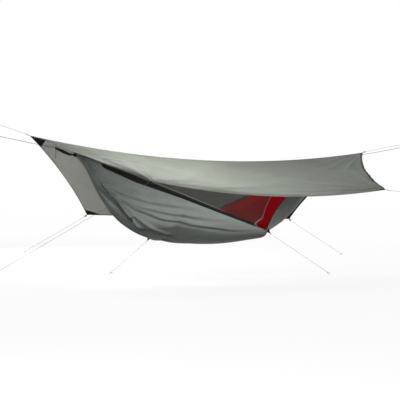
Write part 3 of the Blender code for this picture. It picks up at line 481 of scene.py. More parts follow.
LOOP_PULLS = {  # where each loop points: from its corner to the start of its guy line
    "head": (-0.9265, 0.0938, 0.3644), "foot": (0.9491, 0.0904, 0.3016),
    "near_head": (-0.7405, -0.5785, -0.3420), "near_foot": (0.8682, -0.4538, -0.2010),
    "far_head": (-0.4504, 0.6844, -0.5733), "far_foot": (0.6789, 0.4263, -0.5979),
}
LOOP_LENGTH, LOOP_EYE, LOOP_SIDE, LOOP_WEBBING = 0.030, 0.0040, np.array((0, 0.0068, 0)), 0.0014


def facing(direction):
    """A rotation whose X axis is the direction and whose Z axis leans up."""
    x = Vector(direction).normalized()
    y = Vector((0, 0, 1)).cross(x).normalized()
    return Matrix((x, y, x.cross(y))).transposed()


def make_rib_group():
    """Webbing: thick ribs across it, each crossed by fine warp threads."""
    group, source, out = new_group("webbing", [("Place", "v"), ("Pitch", "f")], [("Height", "f")])
    parts = split(group, source["Place"])
    rate = calc(group, "DIVIDE", 2 * np.pi, source["Pitch"])
    along, across = calc(group, "MULTIPLY", parts[0], rate), calc(group, "MULTIPLY", parts[1], rate)
    chevron = calc(group, "ABSOLUTE", ripple(group, across, 0.25))
    rib = calc(group, "SINE", calc(group, "MULTIPLY_ADD", chevron, 3.0, along))
    group.links.new(calc(group, "MULTIPLY_ADD", ripple(group, across, 2.0), 0.4, rib), out["Height"])
    return group


RIBS = make_rib_group()


def webbing_material(name, colour, pitch, tacks=()):
    """Webbing with its ribs painted lighter on top than in their grooves, a painted shade, and with bar tacks
    across it at these distances along.
    """
    material, tree, shader = new_material(name, 0.70, Specular_IOR_Level=0.12)
    place = cloth_place(tree)
    parts = split(tree, place)
    height = grouped(tree, RIBS, Place=place, Pitch=pitch)["Height"]
    mask = 0.0
    for tack in tacks:
        stitch = grouped(tree, STITCH, Across=calc(tree, "SUBTRACT", parts[0], tack), Along=parts[1],
                         Pitch=0.0011, Width=0.0016)
        mask = calc(tree, "MAXIMUM", mask, stitch["Mask"])
    fuzz = noise(tree, place, 900.0, 3.0)
    # Painted shade: the ribs' tops are lighter than their grooves, with a random fuzz in the tone.
    tone = calc(tree, "MULTIPLY_ADD", calc(tree, "MULTIPLY_ADD", height, 0.25, fuzz), 0.8, 0.5)
    tree.links.new(mixed(tree, mask, scaled(tree, colour, tone), (0.05, 0.05, 0.048)),
                   shader.inputs["Base Color"])
    bump(tree, shader, calc(tree, "MULTIPLY_ADD", mask, 2.0, height), 0.00022)
    return material


def webbing_loop_path():
    """The loop's line along +X from its sewn end: two layers that part into a rounded eye."""
    run = np.linspace(0, 1, 34)[:26]
    x, z = 0.0302 * run, LOOP_EYE * np.clip((run - 0.18) / 0.5, 0, 1) ** 1.5 + 0.0009
    angles = np.linspace(np.pi / 2, -np.pi / 2, 15)[1:-1]
    x = np.concatenate([x, x[-1] + 1.35 * z[-1] * np.cos(angles), x[::-1]])
    z = np.concatenate([z, z[-1] * np.sin(angles), -z[::-1]])
    return np.stack([x * LOOP_LENGTH / x.max(), 0 * x, z], axis=1)


loop_webbing = webbing_material("loop_webbing", (0.016, 0.0165, 0.0145), 0.0012, (0.003, 0.0052))
loop_path = webbing_loop_path()
for corner, direction in LOOP_PULLS.items():
    loop = band_piece(f"fly_{corner}_webbing_loop", loop_path - LOOP_SIDE, loop_path + LOOP_SIDE, 7,
                      LOOP_WEBBING, loop_webbing)
    rounded = loop.modifiers.new("round", "BEVEL")
    rounded.width, rounded.segments = 0.0004, 2
    sewn_at = Vector(FLY_CORNERS[corner] + np.array(direction) * 0.0005)
    loop.matrix_world = Matrix.Translation(sewn_at) @ facing(direction).to_4x4()
    fit(loop, "black_trim", f"fly_{corner}_webbing")


# Guy lines of the fly

# Six thin braided polyester lines, each tied into a loop at its far end, where a peg or a tree holds
# it taut. They are straight, because they carry the fly's tension.

GUY_CORD, GUY_LOOP, GUY_TAIL = 0.0022, 0.009, 0.018
HITCH_TURNS, HITCH_RADIUS, HITCH_BACK = 3, 0.0024, 0.0032
KNOT_LENGTH, KNOT_TURNS, KNOT_RADIUS = 4.5, 3.4, 0.7956  # the length and radius in cord diameters
FLY_LINES = {  # the start and the end of each line, and the centre of its tied loop
    "head": ((0.3213, 0.0029, 0.0087), (0.0183, 0.0002, 0.1057), (0, 0, 0.1115)),
    "foot": ((3.8794, 0.0028, -0.0802), (4.3361, 0.0001, 0.0059), (4.355, 0, 0.0095)),
    "near_head": ((0.9768, -1.4078, -0.4402), (-0.3435, -1.8445, -1.0968), (-0.360, -1.850, -1.105)),
    "near_foot": ((3.2275, -1.4038, -0.4957), (3.4409, -1.3911, -0.5139), (3.460, -1.390, -0.5155)),
    "far_head": ((1.0200, 0.5213, -0.7417), (0.6182, 1.2843, -1.1041), (0.610, 1.300, -1.1115)),
    "far_foot": ((3.2792, 0.5132, -0.7990), (4.0635, 0.7941, -1.1776), (4.080, 0.800, -1.1855)),
}


def make_braid_group():
    """A braid: two sets of strands that wind around a cord and cross over each other."""
    group, source, out = new_group("braid", [("Place", "v"), ("Pitch", "f"), ("Strands", "f")],
                                   [("Height", "f"), ("Fleck", "f")])
    parts = split(group, source["Place"])
    along = calc(group, "MULTIPLY", calc(group, "DIVIDE", parts[0], source["Pitch"]), 2 * np.pi)
    around = calc(group, "MULTIPLY", calc(group, "MULTIPLY", parts[1], source["Strands"]), 2 * np.pi)
    one, other = (calc(group, "SINE", calc(group, way, along, around)) for way in ("ADD", "SUBTRACT"))
    group.links.new(calc(group, "MAXIMUM", one, other), out["Height"])
    group.links.new(calc(group, "GREATER_THAN", calc(group, "MULTIPLY", one, other), 0.72), out["Fleck"])
    return group


BRAID = make_braid_group()


def braided_material(name, colour, fleck_colour, pitch, strands):
    """Braided cord in one colour, flecked where its strands cross, with the strands' tops painted lighter
    than the grooves between them, a painted shade.
    """
    material, tree, shader = new_material(name, 0.7, Sheen_Weight=0.1, Sheen_Roughness=0.5)
    place = cloth_place(tree)
    braid = grouped(tree, BRAID, Place=place, Pitch=pitch, Strands=strands)
    fuzz = noise(tree, place, 700.0)
    # Painted shade: the strands' tops are lighter than the grooves between them, with a random fuzz in the
    # tone.
    tone = calc(tree, "MULTIPLY_ADD", calc(tree, "ADD", braid["Height"], fuzz), 0.35, 0.65)
    tree.links.new(mixed(tree, braid["Fleck"], scaled(tree, colour, tone), fleck_colour),
                   shader.inputs["Base Color"])
    bump(tree, shader, braid["Height"], 0.00025)
    return material


def ring_faces(rows, count, caps=()):
    """Faces between rows of points around a piece; caps gives the way round of the faces at its ends."""
    at = np.arange(rows * count).reshape(rows, count)
    faces = np.stack([at[:-1, :-1], at[:-1, 1:], at[1:, 1:], at[1:, :-1]], axis=-1).reshape(-1, 4).tolist()
    return faces + [at[row, :-1][::way].tolist() for row, way in zip((0, -1), caps)]


def tube_parts(path, radius, sides, closed=False):
    """Verts, faces and UVs of a round tube along a path, with UVs along in metres and around in turns."""
    run = unit(np.roll(path, -1, 0) - np.roll(path, 1, 0) if closed else np.gradient(path, axis=0))
    side = np.zeros_like(path)
    side[0] = unit(np.cross(run[0], (0, 0, 1) if abs(run[0][2]) < 0.9 else (0, 1, 0)))
    for k in range(1, len(path)):
        side[k] = unit(side[k - 1] - run[k] * np.dot(side[k - 1], run[k]))
    angles = np.linspace(0, 2 * np.pi, sides + 1)[:, None]
    spokes = side[:, None] * np.cos(angles) + np.cross(run, side)[:, None] * np.sin(angles)
    rings = path[:, None] + radius * spokes
    if closed:
        rings, path = np.concatenate([rings, rings[:1]]), np.concatenate([path, path[:1]])
    return (rings.reshape(-1, 3), ring_faces(len(rings), sides + 1, () if closed else (-1, 1)),
            grid_uvs(run_of(path), np.linspace(0, 1, sides + 1)).reshape(-1, 2))


def joined_piece(name, material, *parts):
    """One mesh of several parts, each with its verts, faces and UVs."""
    verts, faces, uvs = [], [], []
    for part_verts, part_faces, part_uvs in parts:
        base = sum(map(len, verts))
        faces += [[k + base for k in face] for face in part_faces]
        verts.append(part_verts)
        uvs.append(part_uvs)
    obj = mesh_piece(name, np.concatenate(verts), faces, np.concatenate(uvs), material)
    obj.modifiers.new("weld", "WELD").merge_threshold = 1e-6
    return obj


def tied_end_parts(centre, pull, diameter, radius, tail):
    """A loop at the centre, with a wrapped knot behind it and the cord's short tail."""
    x = unit(pull)
    y = unit(np.cross((0, 0, 1), x))
    axes = np.stack([x, y, np.cross(x, y)])
    half, length = diameter / 2, KNOT_LENGTH * diameter

    def placed(*ways):
        return centre + np.stack(np.broadcast_arrays(*ways), axis=1) @ axes
    a = np.linspace(0, 2 * np.pi, 49)[:-1]
    eye = placed(radius * np.cos(a), 0, 0.94 * radius * np.sin(a))
    b = np.linspace(0, 2 * np.pi * KNOT_TURNS, 90)
    wrap = placed(-radius - half - (length - diameter) * b / b[-1], KNOT_RADIUS * diameter * np.cos(b),
                  KNOT_RADIUS * diameter * np.sin(b))
    core = placed(np.linspace(-radius, -radius - length, 12), 0, 0)
    c = np.linspace(0, 1, 14)
    end = placed(-radius - 0.8 * length - 0.25 * tail * c, diameter * (0.9 + 1.2 * c ** 1.3),
                 -0.6 * diameter - 0.75 * tail * c)
    return [tube_parts(eye, half, 10, closed=True), tube_parts(wrap, half * 0.94, 8),
            tube_parts(core, half, 8), tube_parts(end, half, 8)]


def guy_line(name, start, stop, centre, hitched=False):
    """A taut line of cord with its tied loop, in place of the CAD's line and loop.

    Where the line is hitched, some turns of it grip the cloth's tip at its start."""
    start, stop = np.array(start), np.array(stop)
    length, pull = float(np.linalg.norm(stop - start)), unit(stop - start)
    path = start + (stop - start) * np.linspace(0, 1, max(16, int(length / 0.010)))[:, None]
    line = joined_piece(f"{name}_line_cord", guy_cord, tube_parts(path, GUY_CORD / 2, 8))
    knots = [joined_piece(f"{name}_line_loop", guy_cord,
                          *tied_end_parts(np.array(centre), pull, GUY_CORD, GUY_LOOP, GUY_TAIL))]
    fit(line, "guy_cord", f"{name}_guy_line")
    fit(knots[0], "guy_cord", f"{name}_guy_end")
    if hitched:
        across = unit(np.cross(pull, DOWN))
        turns = np.linspace(0, 2 * np.pi * HITCH_TURNS, 73)[:, None]
        coil = start + pull * (GUY_CORD * turns / (2 * np.pi) - HITCH_BACK)
        coil = coil + HITCH_RADIUS * (np.cos(turns) * across + np.sin(turns) * np.cross(across, pull))
        knots.append(joined_piece(f"{name}_line_hitch", guy_cord, tube_parts(coil, GUY_CORD / 2, 8)))
        fit(knots[1], "guy_cord")


guy_cord = braided_material("guy_cord", (0.085, 0.088, 0.078), (0.19, 0.19, 0.175), 0.0042, 4)
for corner, route in FLY_LINES.items():
    guy_line(f"fly_{corner}", *route)


# Hammock body

# The bed is one asymmetric sheet of tough woven nylon, gathered at both ends and pulled out at two
# tie-outs. Its slack hangs in long swags below the zip and in pleats towards the head gather.

HEAD_GATHER, FOOT_GATHER = np.array((0.782, 0, -0.1695)), np.array((3.418, 0, -0.1915))
NEAR_TIE, FAR_TIE = np.array((2.457, -0.550, -0.8725)), np.array((1.710, 0.550, -0.96055))
SPAN, ZIP_START_X, ZIP_OPEN_X, TAPE_WIDTH = 2.636, 1.005, 2.357, 0.034
BODY_GIRTH, BODY_DEPTH, BODY_CLOTH = 1.25, 0.830, 0.0009
BODY_V = np.linspace(0.0004, 0.9996, 201)
CORD_RISE, CORD_SAG, NET_DROP = 0.017, 0.04449, 0.0064
GATHER_HALF, TAPER_LENGTH = 0.010, 0.120
HEM_BOW, NET_BOW = 0.088, 0.230  # how far the opening's lower and upper edge bow upwards
# The body's lowest line, as shares of the span and of its depth.
FLOOR_SHARES = ((0.0, 0.0133), (0.0383, 0.1219), (0.0611, 0.2610), (0.0941, 0.4445), (0.1222, 0.5636),
                (0.1692, 0.7130), (0.2124, 0.7998), (0.2629, 0.8792), (0.3577, 0.9646), (0.4594, 0.9957),
                (0.5702, 0.9704), (0.6745, 0.8830), (0.7390, 0.8040), (0.7822, 0.7370), (0.8122, 0.6700),
                (0.8502, 0.5564), (0.9059, 0.3621), (0.9389, 0.2287), (0.9617, 0.1197), (1.0, 0.0133))
# Three folds run from this v at the head gather to the near edge, which they reach at these shares of
# the way to the tie-out. The long folds, rounded ones and then pleats, keep to a line of v: that line,
# the share of the span, the height, the half width in v, and how early they are highest.
EDGE_FOLD_V, EDGE_FOLD_HIGH, EDGE_FOLD_REACHES = 0.42, 0.022, (0.46, 0.67, 0.86)
LONG_FOLDS = [(v, 0.55, 0.016, 0.045, 0.7) for v in (0.50, 0.64, 0.80)]
LONG_FOLDS += [(v, reach, -deep, 0.024, 0.55) for v, reach, deep in (
    (0.43, 0.40, 0.034), (0.55, 0.50, 0.040), (0.69, 0.52, 0.040), (0.86, 0.40, 0.022))]
GATHER_FOLDS, GATHER_FOLD_HIGH = 13, 0.0060  # the small ones at each end


def smooth_route(route, count):
    """Evenly spaced points on a smooth curve through the route's own points."""
    route = np.asarray(route, float)
    steps = run_of(route)
    slopes = np.gradient(route, steps, axis=0)
    s = np.linspace(0, steps[-1], count)
    k = np.clip(np.searchsorted(steps, s, side="right") - 1, 0, len(route) - 2)
    span = (steps[k + 1] - steps[k])[:, None]
    t = (s - steps[k])[:, None] / span
    return ((1 + 2 * t) * (1 - t) ** 2 * route[k] + t * (1 - t) ** 2 * span * slopes[k]
            + t * t * (3 - 2 * t) * route[k + 1] + t * t * (t - 1) * span * slopes[k + 1])


FLOOR = smooth_route([(HEAD_GATHER[0] + SPAN * a, HEAD_GATHER[2] + (FOOT_GATHER[2] - HEAD_GATHER[2]) * a
                       - BODY_DEPTH * b) for a, b in FLOOR_SHARES], 120).T


def on_line(start, end, x):
    return start + (end - start) * ((x - start[0]) / (end[0] - start[0]))[..., None]


def side_line(x, tie, side):
    """The straight edge from gather to tie-out to gather."""
    aside = np.array((0, side * GATHER_HALF, 0))
    return np.where((x <= tie[0])[..., None], on_line(HEAD_GATHER + aside, tie, x),
                    on_line(tie, FOOT_GATHER + aside, x))


def foot_bow(x, start):
    """0 at the start and at the foot gather, 1 a third of the way between them."""
    share = np.maximum(0, (x - start) / (FOOT_GATHER[0] - start))
    return (27 / 4 * share * (1 - share) ** 2)[..., None]


def taper(x):
    """How wide tapes are: full along the sides, narrow at the gathers."""
    from_end = np.minimum(x - HEAD_GATHER[0], FOOT_GATHER[0] - x)
    return (0.16 + 0.84 * np.clip(from_end / TAPER_LENGTH, 0, 1))[..., None]


def off_middle(x):
    """0 in the middle between the gathers, 1 at each of them."""
    return abs(2 * x - HEAD_GATHER[0] - FOOT_GATHER[0]) / SPAN


def cord_line(x):
    """The ridge cord inside the fly, which carries the net."""
    chord = on_line(HEAD_GATHER, FOOT_GATHER, x) - DOWN * CORD_RISE
    return chord + DOWN * (CORD_SAG * (1 - off_middle(x) ** 2))[..., None]


def net_apex(x):
    return cord_line(x) + DOWN * NET_DROP


NEAR_RISE = unit(net_apex(np.array(NEAR_TIE[0])) - NEAR_TIE)
NEAR_OUT = -np.cross(NEAR_RISE, (1, 0, 0))
ZIP_RUN = unit(NEAR_TIE - HEAD_GATHER - np.array((0, -GATHER_HALF, 0)))
FULL_TAPE = TAPE_WIDTH / np.linalg.norm(np.cross(ZIP_RUN, NEAR_RISE))


def near_line(x):
    return side_line(x, NEAR_TIE, -1)


def far_line(x):
    return side_line(x, FAR_TIE, 1)


def hem_line(x):
    """The body's near edge, bowed inward beyond the tie-out."""
    return near_line(x) + NEAR_RISE * HEM_BOW * foot_bow(x, NEAR_TIE[0])


def net_edge_line(x):
    return near_line(x) + NEAR_RISE * (FULL_TAPE * taper(x) + NET_BOW * foot_bow(x, ZIP_OPEN_X))


# Each swag or crease: its line, as shares of the span and v, its depth and its half width in v.
SWAGS = [(smooth_route(line, 60).T, deep, width) for line, deep, width in (
    (((0.030, 0.230), (0.070, 0.160), (0.111, 0.111), (0.177, 0.067), (0.229, 0.030)), 0.008, 0.013),
    (((0.035, 0.300), (0.075, 0.220), (0.111, 0.161), (0.160, 0.107), (0.243, 0.077),
      (0.310, 0.030)), 0.011, 0.015),
    (((0.040, 0.340), (0.085, 0.250), (0.148, 0.171), (0.243, 0.133), (0.361, 0.085),
      (0.440, 0.030)), 0.014, 0.018),
    (((0.045, 0.380), (0.095, 0.280), (0.165, 0.214), (0.251, 0.190), (0.339, 0.165), (0.430, 0.115),
      (0.540, 0.031)), 0.012, 0.018),
    (((0.090, 0.290), (0.165, 0.240), (0.251, 0.235), (0.339, 0.230), (0.430, 0.185), (0.530, 0.150),
      (0.600, 0.060)), 0.016, 0.020),
    (((0.040, 0.430), (0.066, 0.390), (0.096, 0.325), (0.130, 0.301), (0.165, 0.308), (0.214, 0.380),
      (0.278, 0.460)), 0.066, 0.022),
    (((0.080, 0.270), (0.123, 0.262), (0.157, 0.290), (0.221, 0.400), (0.260, 0.450)), 0.056, 0.019),
    (((0.150, 0.290), (0.206, 0.310), (0.263, 0.342), (0.334, 0.420), (0.400, 0.470)), 0.036, 0.016))]


def long_fold(v, middle, half, share, early):
    """A rounded fold along a line of v, highest early on its way from the head gather."""
    return np.exp(-((v - middle) / half) ** 2) * np.sin(np.pi * share ** early)


def body_folds(x, v):
    """How far the cloth stands out: long swags and pleats as they hang, and small gathers."""
    head_run = x - HEAD_GATHER[0]
    height = np.zeros(np.broadcast(x, v).shape)
    for reach in EDGE_FOLD_REACHES:
        share = np.clip(head_run / ((NEAR_TIE[0] - HEAD_GATHER[0]) * reach), 0, 1)
        height += EDGE_FOLD_HIGH * long_fold(v, EDGE_FOLD_V * (1 - share ** 2), 0.045, share, 0.8)
    for middle, reach, high, half, early in LONG_FOLDS:
        height += high * long_fold(v, middle, half, np.clip(head_run / (SPAN * reach), 0, 1), early)
    for (at, middle), deep, width in SWAGS:
        share = np.clip((head_run / SPAN - at[0]) / (at[-1] - at[0]), 0, 1)
        off = (v - np.interp(head_run / SPAN, at, middle)) / width
        fade = np.sin(np.pi * share ** 0.7) * np.clip(v / 0.03, 0, 1)
        height += deep * (0.9 * np.exp(-(off + 1.7) ** 2) - np.exp(-off ** 2)) * fade
    for end, gather, fading in ((0, HEAD_GATHER, 0.30), (1, FOOT_GATHER, 0.24)):
        away = abs(x - gather[0])
        rise = np.minimum(1, away / 0.06) * np.exp(-away / fading)
        gathers = np.sin(2 * np.pi * GATHER_FOLDS * v + 2.2 * np.sin(5 * v + end) + 3 * away)
        height += GATHER_FOLD_HIGH * rise * gathers
    drift = np.sin(6.3 * x + 9.0 * v) + np.sin(11.7 * x - 14.0 * v + 1.0)
    return height + 0.0016 * drift * np.sin(np.pi * np.clip(v, 0, 1))


def body_points(x, v, inside=0.0):
    """Points of the body's cloth: v runs from the near edge under to the far edge."""
    near, far = hem_line(x), far_line(x)
    floor = np.interp(x, *FLOOR)
    near_high, far_high = near[..., 2] - floor, far[..., 2] - floor
    meet = near_high * far_high / (np.sqrt(near_high) + np.sqrt(far_high)) ** 2
    across = (v * v * (3 - 2 * v))[..., None]
    row = (1 - across) * near + across * far
    row[..., 2] = floor + near_high * (1 - v) ** 3 + far_high * v ** 3 - meet * 4 * v * (1 - v)
    out = unit(np.cross(np.gradient(row, axis=1), (1, 0, 0)))
    return row + out * (body_folds(x, v) - inside)[..., None]


def body_sheet(name, x, v, inside, thickness, cloth):
    """A sheet that follows the body's form, this far inside it."""
    return sheet_piece(name, body_points(x[:, None], v, inside), grid_uvs(x, v * BODY_GIRTH), thickness,
                       cloth, turn=True)


body_cloth = cloth_material("body_cloth", (0.200, 0.220, 0.202), (0.165, 0.183, 0.168), 0.42, 0.0010,
                            (14.0, 0.0018), Specular_IOR_Level=0.05)
along_body = np.linspace(0, 1, 221)
body_x = HEAD_GATHER[0] + SPAN * (0.45 * along_body + 0.55 * (0.5 - 0.5 * np.cos(np.pi * along_body)))
hammock_body = body_sheet("hammock_body_cloth", body_x, BODY_V, 0, BODY_CLOTH, body_cloth)
fit(hammock_body, "hammock_cloth", "hammock_body")


# Red lining

# A second layer of bright red ripstop lines the bed. It shows through the open zip and darkly through
# the net.

LINING_INSIDE, LINING_CLOTH = 0.0038, 0.0005
lining_cloth = cloth_material("lining_cloth", (0.84, 0.006, 0.020), (0.70, 0.004, 0.015), 0.34, 0.0008,
                              (16.0, 0.0016), Sheen_Weight=0.15, Sheen_Roughness=0.3)
lining = body_sheet("hammock_lining_cloth", body_x[2:-2], BODY_V[2:-2], LINING_INSIDE, LINING_CLOTH,
                    lining_cloth)
fit(lining, "red_lining", "hammock_lining")


# Mosquito net

# Fine black mesh closes the top of the bed: it hangs from the ridge cord and is sewn to the zip on the
# near side and to the binding on the far side.

NET_SAG, NET_GIRTH = 0.024, 1.3
BINDING_WIDTH, BINDING_TAPE = 0.012, 0.0014


def net_material(colour, pitch, thread_share):
    """A mesh of fine threads with square holes between them."""
    material, tree, shader = new_material("net_mesh", 0.75, Sheen_Weight=0.12, Sheen_Roughness=0.5)
    place = cloth_place(tree)
    parts = split(tree, place)
    solid = 0.0
    for part in (parts[0], parts[1]):
        cell = calc(tree, "FRACT", calc(tree, "DIVIDE", part, pitch))
        solid = calc(tree, "MAXIMUM", solid, calc(tree, "LESS_THAN", cell, thread_share))
    tree.links.new(solid, shader.inputs["Alpha"])
    tone = calc(tree, "MULTIPLY_ADD", noise(tree, place, 30.0), 0.6, 0.7)
    tree.links.new(scaled(tree, colour, tone), shader.inputs["Base Color"])
    return material


def binding_top(x):
    """Where the far edge's binding ends and the net starts."""
    return far_line(x) + unit(net_apex(x) - far_line(x)) * BINDING_WIDTH * taper(x)


def net_wall(x, low, high, share):
    """Rows of the net from one line to another, which hang in a little."""
    tuck = NET_SAG * (1 - off_middle(x))[:, None] * 4 * share * (1 - share)
    return low[:, None] + (high - low)[:, None] * share[..., None] + DOWN * tuck[..., None]


net_x = HEAD_GATHER[0] + SPAN * np.linspace(0.004, 0.996, 121)
net_shares = np.linspace(0, 1, 31)[None, :]
near_wall = net_wall(net_x, net_edge_line(net_x), net_apex(net_x), net_shares)
far_wall = net_wall(net_x, net_apex(net_x), binding_top(net_x), net_shares)
net = sheet_piece("mosquito_net_mesh", np.concatenate([near_wall, far_wall[:, 1:]], axis=1),
                  grid_uvs(net_x, NET_GIRTH * np.linspace(0, 1, 61)), 0,
                  net_material((0.030, 0.034, 0.033), 0.0018, 0.205))
fit(net, "net", "mosquito_net")


# Painted sheen strip on the net, and zip guard with painted shadow

# A tapering strip of the body's lighter cloth lies on the net above the zip near the head, where the
# net shows a band of sheen: a painted highlight. A black flap below the zip there keeps rain off it;
# it is widest under the fly's near edge, where it also stands for the fly's shadow, in part a painted
# shadow.

SHEEN_STRIP_WIDTHS = ((1.25, 1.45, 2.10), (0.030, 0.050, 0.004))  # places along and the widths there
GUARD_SHADOW_WIDTHS = ((1.00, 1.02, 1.30, 1.50, 1.70, 2.25), (0.004, 0.020, 0.034, 0.022, 0.011, 0.001))
SHEEN_STRIP_OUTSIDE, SHEEN_STRIP_CLOTH = 0.0015, 0.0008
GUARD_SHADOW_OUTSIDE, GUARD_SHADOW_CLOTH = 0.0028, 0.0009

# A strip of body cloth, lighter than the black net, laid where the net shows sheen: a painted highlight.
sheen_strip_x = np.linspace(1.25, 2.10, 81)
sheen_strip_across = np.interp(sheen_strip_x, *SHEEN_STRIP_WIDTHS)[:, None] * np.linspace(0, 1, 6)
sheen_strip_low, sheen_strip_top = net_edge_line(sheen_strip_x), net_apex(sheen_strip_x)
net_height = np.linalg.norm(sheen_strip_top - sheen_strip_low, axis=1)[:, None]
sheen_strip_points = net_wall(sheen_strip_x, sheen_strip_low, sheen_strip_top, sheen_strip_across / net_height) + NEAR_OUT * SHEEN_STRIP_OUTSIDE
net_sheen_strip = sheet_piece("net_painted_sheen_strip", sheen_strip_points, grid_uvs(sheen_strip_x, sheen_strip_across), SHEEN_STRIP_CLOTH, body_cloth)
fit(net_sheen_strip, "hammock_cloth")

# A black rain flap below the zip, widest under the fly's near edge, where it also fills the fly's shadow: in
# part a painted shadow.
guard_shadow_x = np.linspace(1.00, 2.25, 121)
guard_shadow_across = np.interp(guard_shadow_x, *GUARD_SHADOW_WIDTHS)[:, None] * np.linspace(0, 1, 7)
edge_lines = body_points(guard_shadow_x[:, None], np.array((0, 0.01)))
girth = np.linalg.norm(edge_lines[:, 1] - edge_lines[:, 0], axis=1)[:, None] / 0.01
guard_shadow_points = body_points(guard_shadow_x[:, None], 0.0005 + guard_shadow_across / girth, -GUARD_SHADOW_OUTSIDE)
guard_shadow_flap = sheet_piece("zip_guard_flap_painted_shadow", guard_shadow_points, grid_uvs(guard_shadow_x, guard_shadow_across), GUARD_SHADOW_CLOTH,
                    black_cloth)
fit(guard_shadow_flap, "black_trim")


# Far edge binding

# A folded tape of the body's cloth binds the far edges of the body and the net together. It narrows
# towards both gathers.

binding_x = HEAD_GATHER[0] + SPAN * np.linspace(0.002, 0.998, 121)
binding = band_piece("far_edge_binding_tape", far_line(binding_x), binding_top(binding_x), 5,
                     BINDING_TAPE, body_cloth)
fit(binding, "hammock_cloth", "far_edge_binding")


# Zip tapes and chain

# A coil zip closes the bed's near side, from a hem near the head gather. Its tape is sewn along the
# body's edge below and to the net above; past the slider the half tapes part and bow away. They are
# light grey, a painted highlight along the open zip's edges.

TAPE_CLOTH, START_HEM_CLOTH, HALF_TAPE, CHAIN_INSET = 0.0009, 0.0012, 0.013, 0.0012
CLOSED_CHAIN, OPEN_CHAIN = (0.0019, 0.0032), (0.0017, 0.0016)  # half sizes: out from the tape and across


def chain_material():
    """Nylon coil teeth across the chain, from the tape's two halves; the teeth are painted lighter on top
    than in the gaps between them, a painted shade.
    """
    material, tree, shader = new_material("zip_chain", 0.38)
    place = cloth_place(tree)
    teeth = calc(tree, "ABSOLUTE", ripple(tree, split(tree, place)[0], np.pi / 0.0017))
    # Painted shade: darker in the gaps between the teeth and lighter on their tops, mottled at random.
    shade = calc(tree, "MULTIPLY", teeth, noise(tree, place, 60.0, 3.0))
    tree.links.new(mixed(tree, shade, (0.006, 0.006, 0.006), (0.035, 0.036, 0.035)),
                   shader.inputs["Base Color"])
    bump(tree, shader, teeth, 0.0007)
    return material


zip_tape = webbing_material("zip_tape", (0.0125, 0.0132, 0.0120), 0.0010)
zip_chain = chain_material()
# The half tapes of the open zip are light grey: a painted highlight for the light lines along its edges.
open_tape_highlight = webbing_material("zip_tape_painted_highlight", (0.26, 0.265, 0.255), 0.0010)


def tape_line(x, share):
    """A line along the closed zip, at a share of its width from the body to the net."""
    return near_line(x) + NEAR_RISE * FULL_TAPE * taper(x) * share


def chain_piece(name, middle, high, wide):
    """A rounded rib along the middle line, with its half sizes out from the tape and across it."""
    angles = np.linspace(0, 2 * np.pi, 13)
    points = (middle[:, None] + NEAR_RISE * (wide * np.cos(angles))[..., None]
              + NEAR_OUT * (high * np.sin(angles))[:, None])
    return sheet_piece(name, points, grid_uvs(run_of(middle), np.linspace(0, 1, 13)), 0, zip_chain, turn=True)


start_x = np.linspace(HEAD_GATHER[0] + 0.002, ZIP_START_X, 31)
start_hem = band_piece("zip_start_hem", tape_line(start_x, 0), tape_line(start_x, 1), 5, START_HEM_CLOTH,
                       body_cloth)
fit(start_hem, "hammock_cloth", "zip_closed_tape")
closed_x = np.linspace(ZIP_START_X - 0.002, ZIP_OPEN_X, 161)
for name, share in (("lower", 0.0), ("upper", 0.5)):
    tape = band_piece(f"zip_closed_{name}_tape", tape_line(closed_x, share), tape_line(closed_x, share + 0.5),
                      5, TAPE_CLOTH, zip_tape)
    fit(tape, "black_trim", "zip_closed_tape")
chain = chain_piece("zip_closed_chain", tape_line(closed_x, 0.5), CLOSED_CHAIN[0],
                    CLOSED_CHAIN[1] * taper(closed_x))
fit(chain, "black_trim", "zip_closed_tape")

open_x = np.linspace(ZIP_OPEN_X, FOOT_GATHER[0] - 0.002, 121)
half_tape = HALF_TAPE * taper(open_x)
# These open half tapes carry the light grey painted highlight.
for name, low, chain_at in (("body", hem_line(open_x), half_tape - CHAIN_INSET),
                            ("net", net_edge_line(open_x) - NEAR_RISE * half_tape, CHAIN_INSET)):
    tape = band_piece(f"zip_open_{name}_half_tape", low, low + NEAR_RISE * half_tape, 5, TAPE_CLOTH,
                      open_tape_highlight)
    fit(tape, None, f"zip_open_{name}_tape")
    chain = chain_piece(f"zip_open_{name}_chain", low + NEAR_RISE * chain_at, *OPEN_CHAIN)
    fit(chain, "black_trim", f"zip_open_{name}_tape")


# Zip slider and pull tabs

# One double slider in black-coated zinc runs on the chain, with a grey metal pull tab outside and
# one inside. They are the CAD's own solids, with their edges rounded.

def coated_metal(name, colour, worn, roughness):
    """A coating on cast metal, scuffed through in places."""
    material, tree, shader = new_material(name, roughness)
    place = add_node(tree, "ShaderNodeTexCoord").outputs["Object"]
    scuff, grain = noise(tree, place, 420.0, 6.0, 0.65), noise(tree, place, 2600.0)
    mask = add_node(tree, "ShaderNodeMapRange", {"Value": scuff, "From Min": 0.60,
                                                 "From Max": 0.70}).outputs[0]
    tree.links.new(mixed(tree, mask, colour, worn), shader.inputs["Base Color"])
    tree.links.new(mask, shader.inputs["Metallic"])
    tree.links.new(calc(tree, "MULTIPLY_ADD", grain, 0.2, roughness - 0.1), shader.inputs["Roughness"])
    bump(tree, shader, calc(tree, "SUBTRACT", grain, mask), 0.00004)
    return material


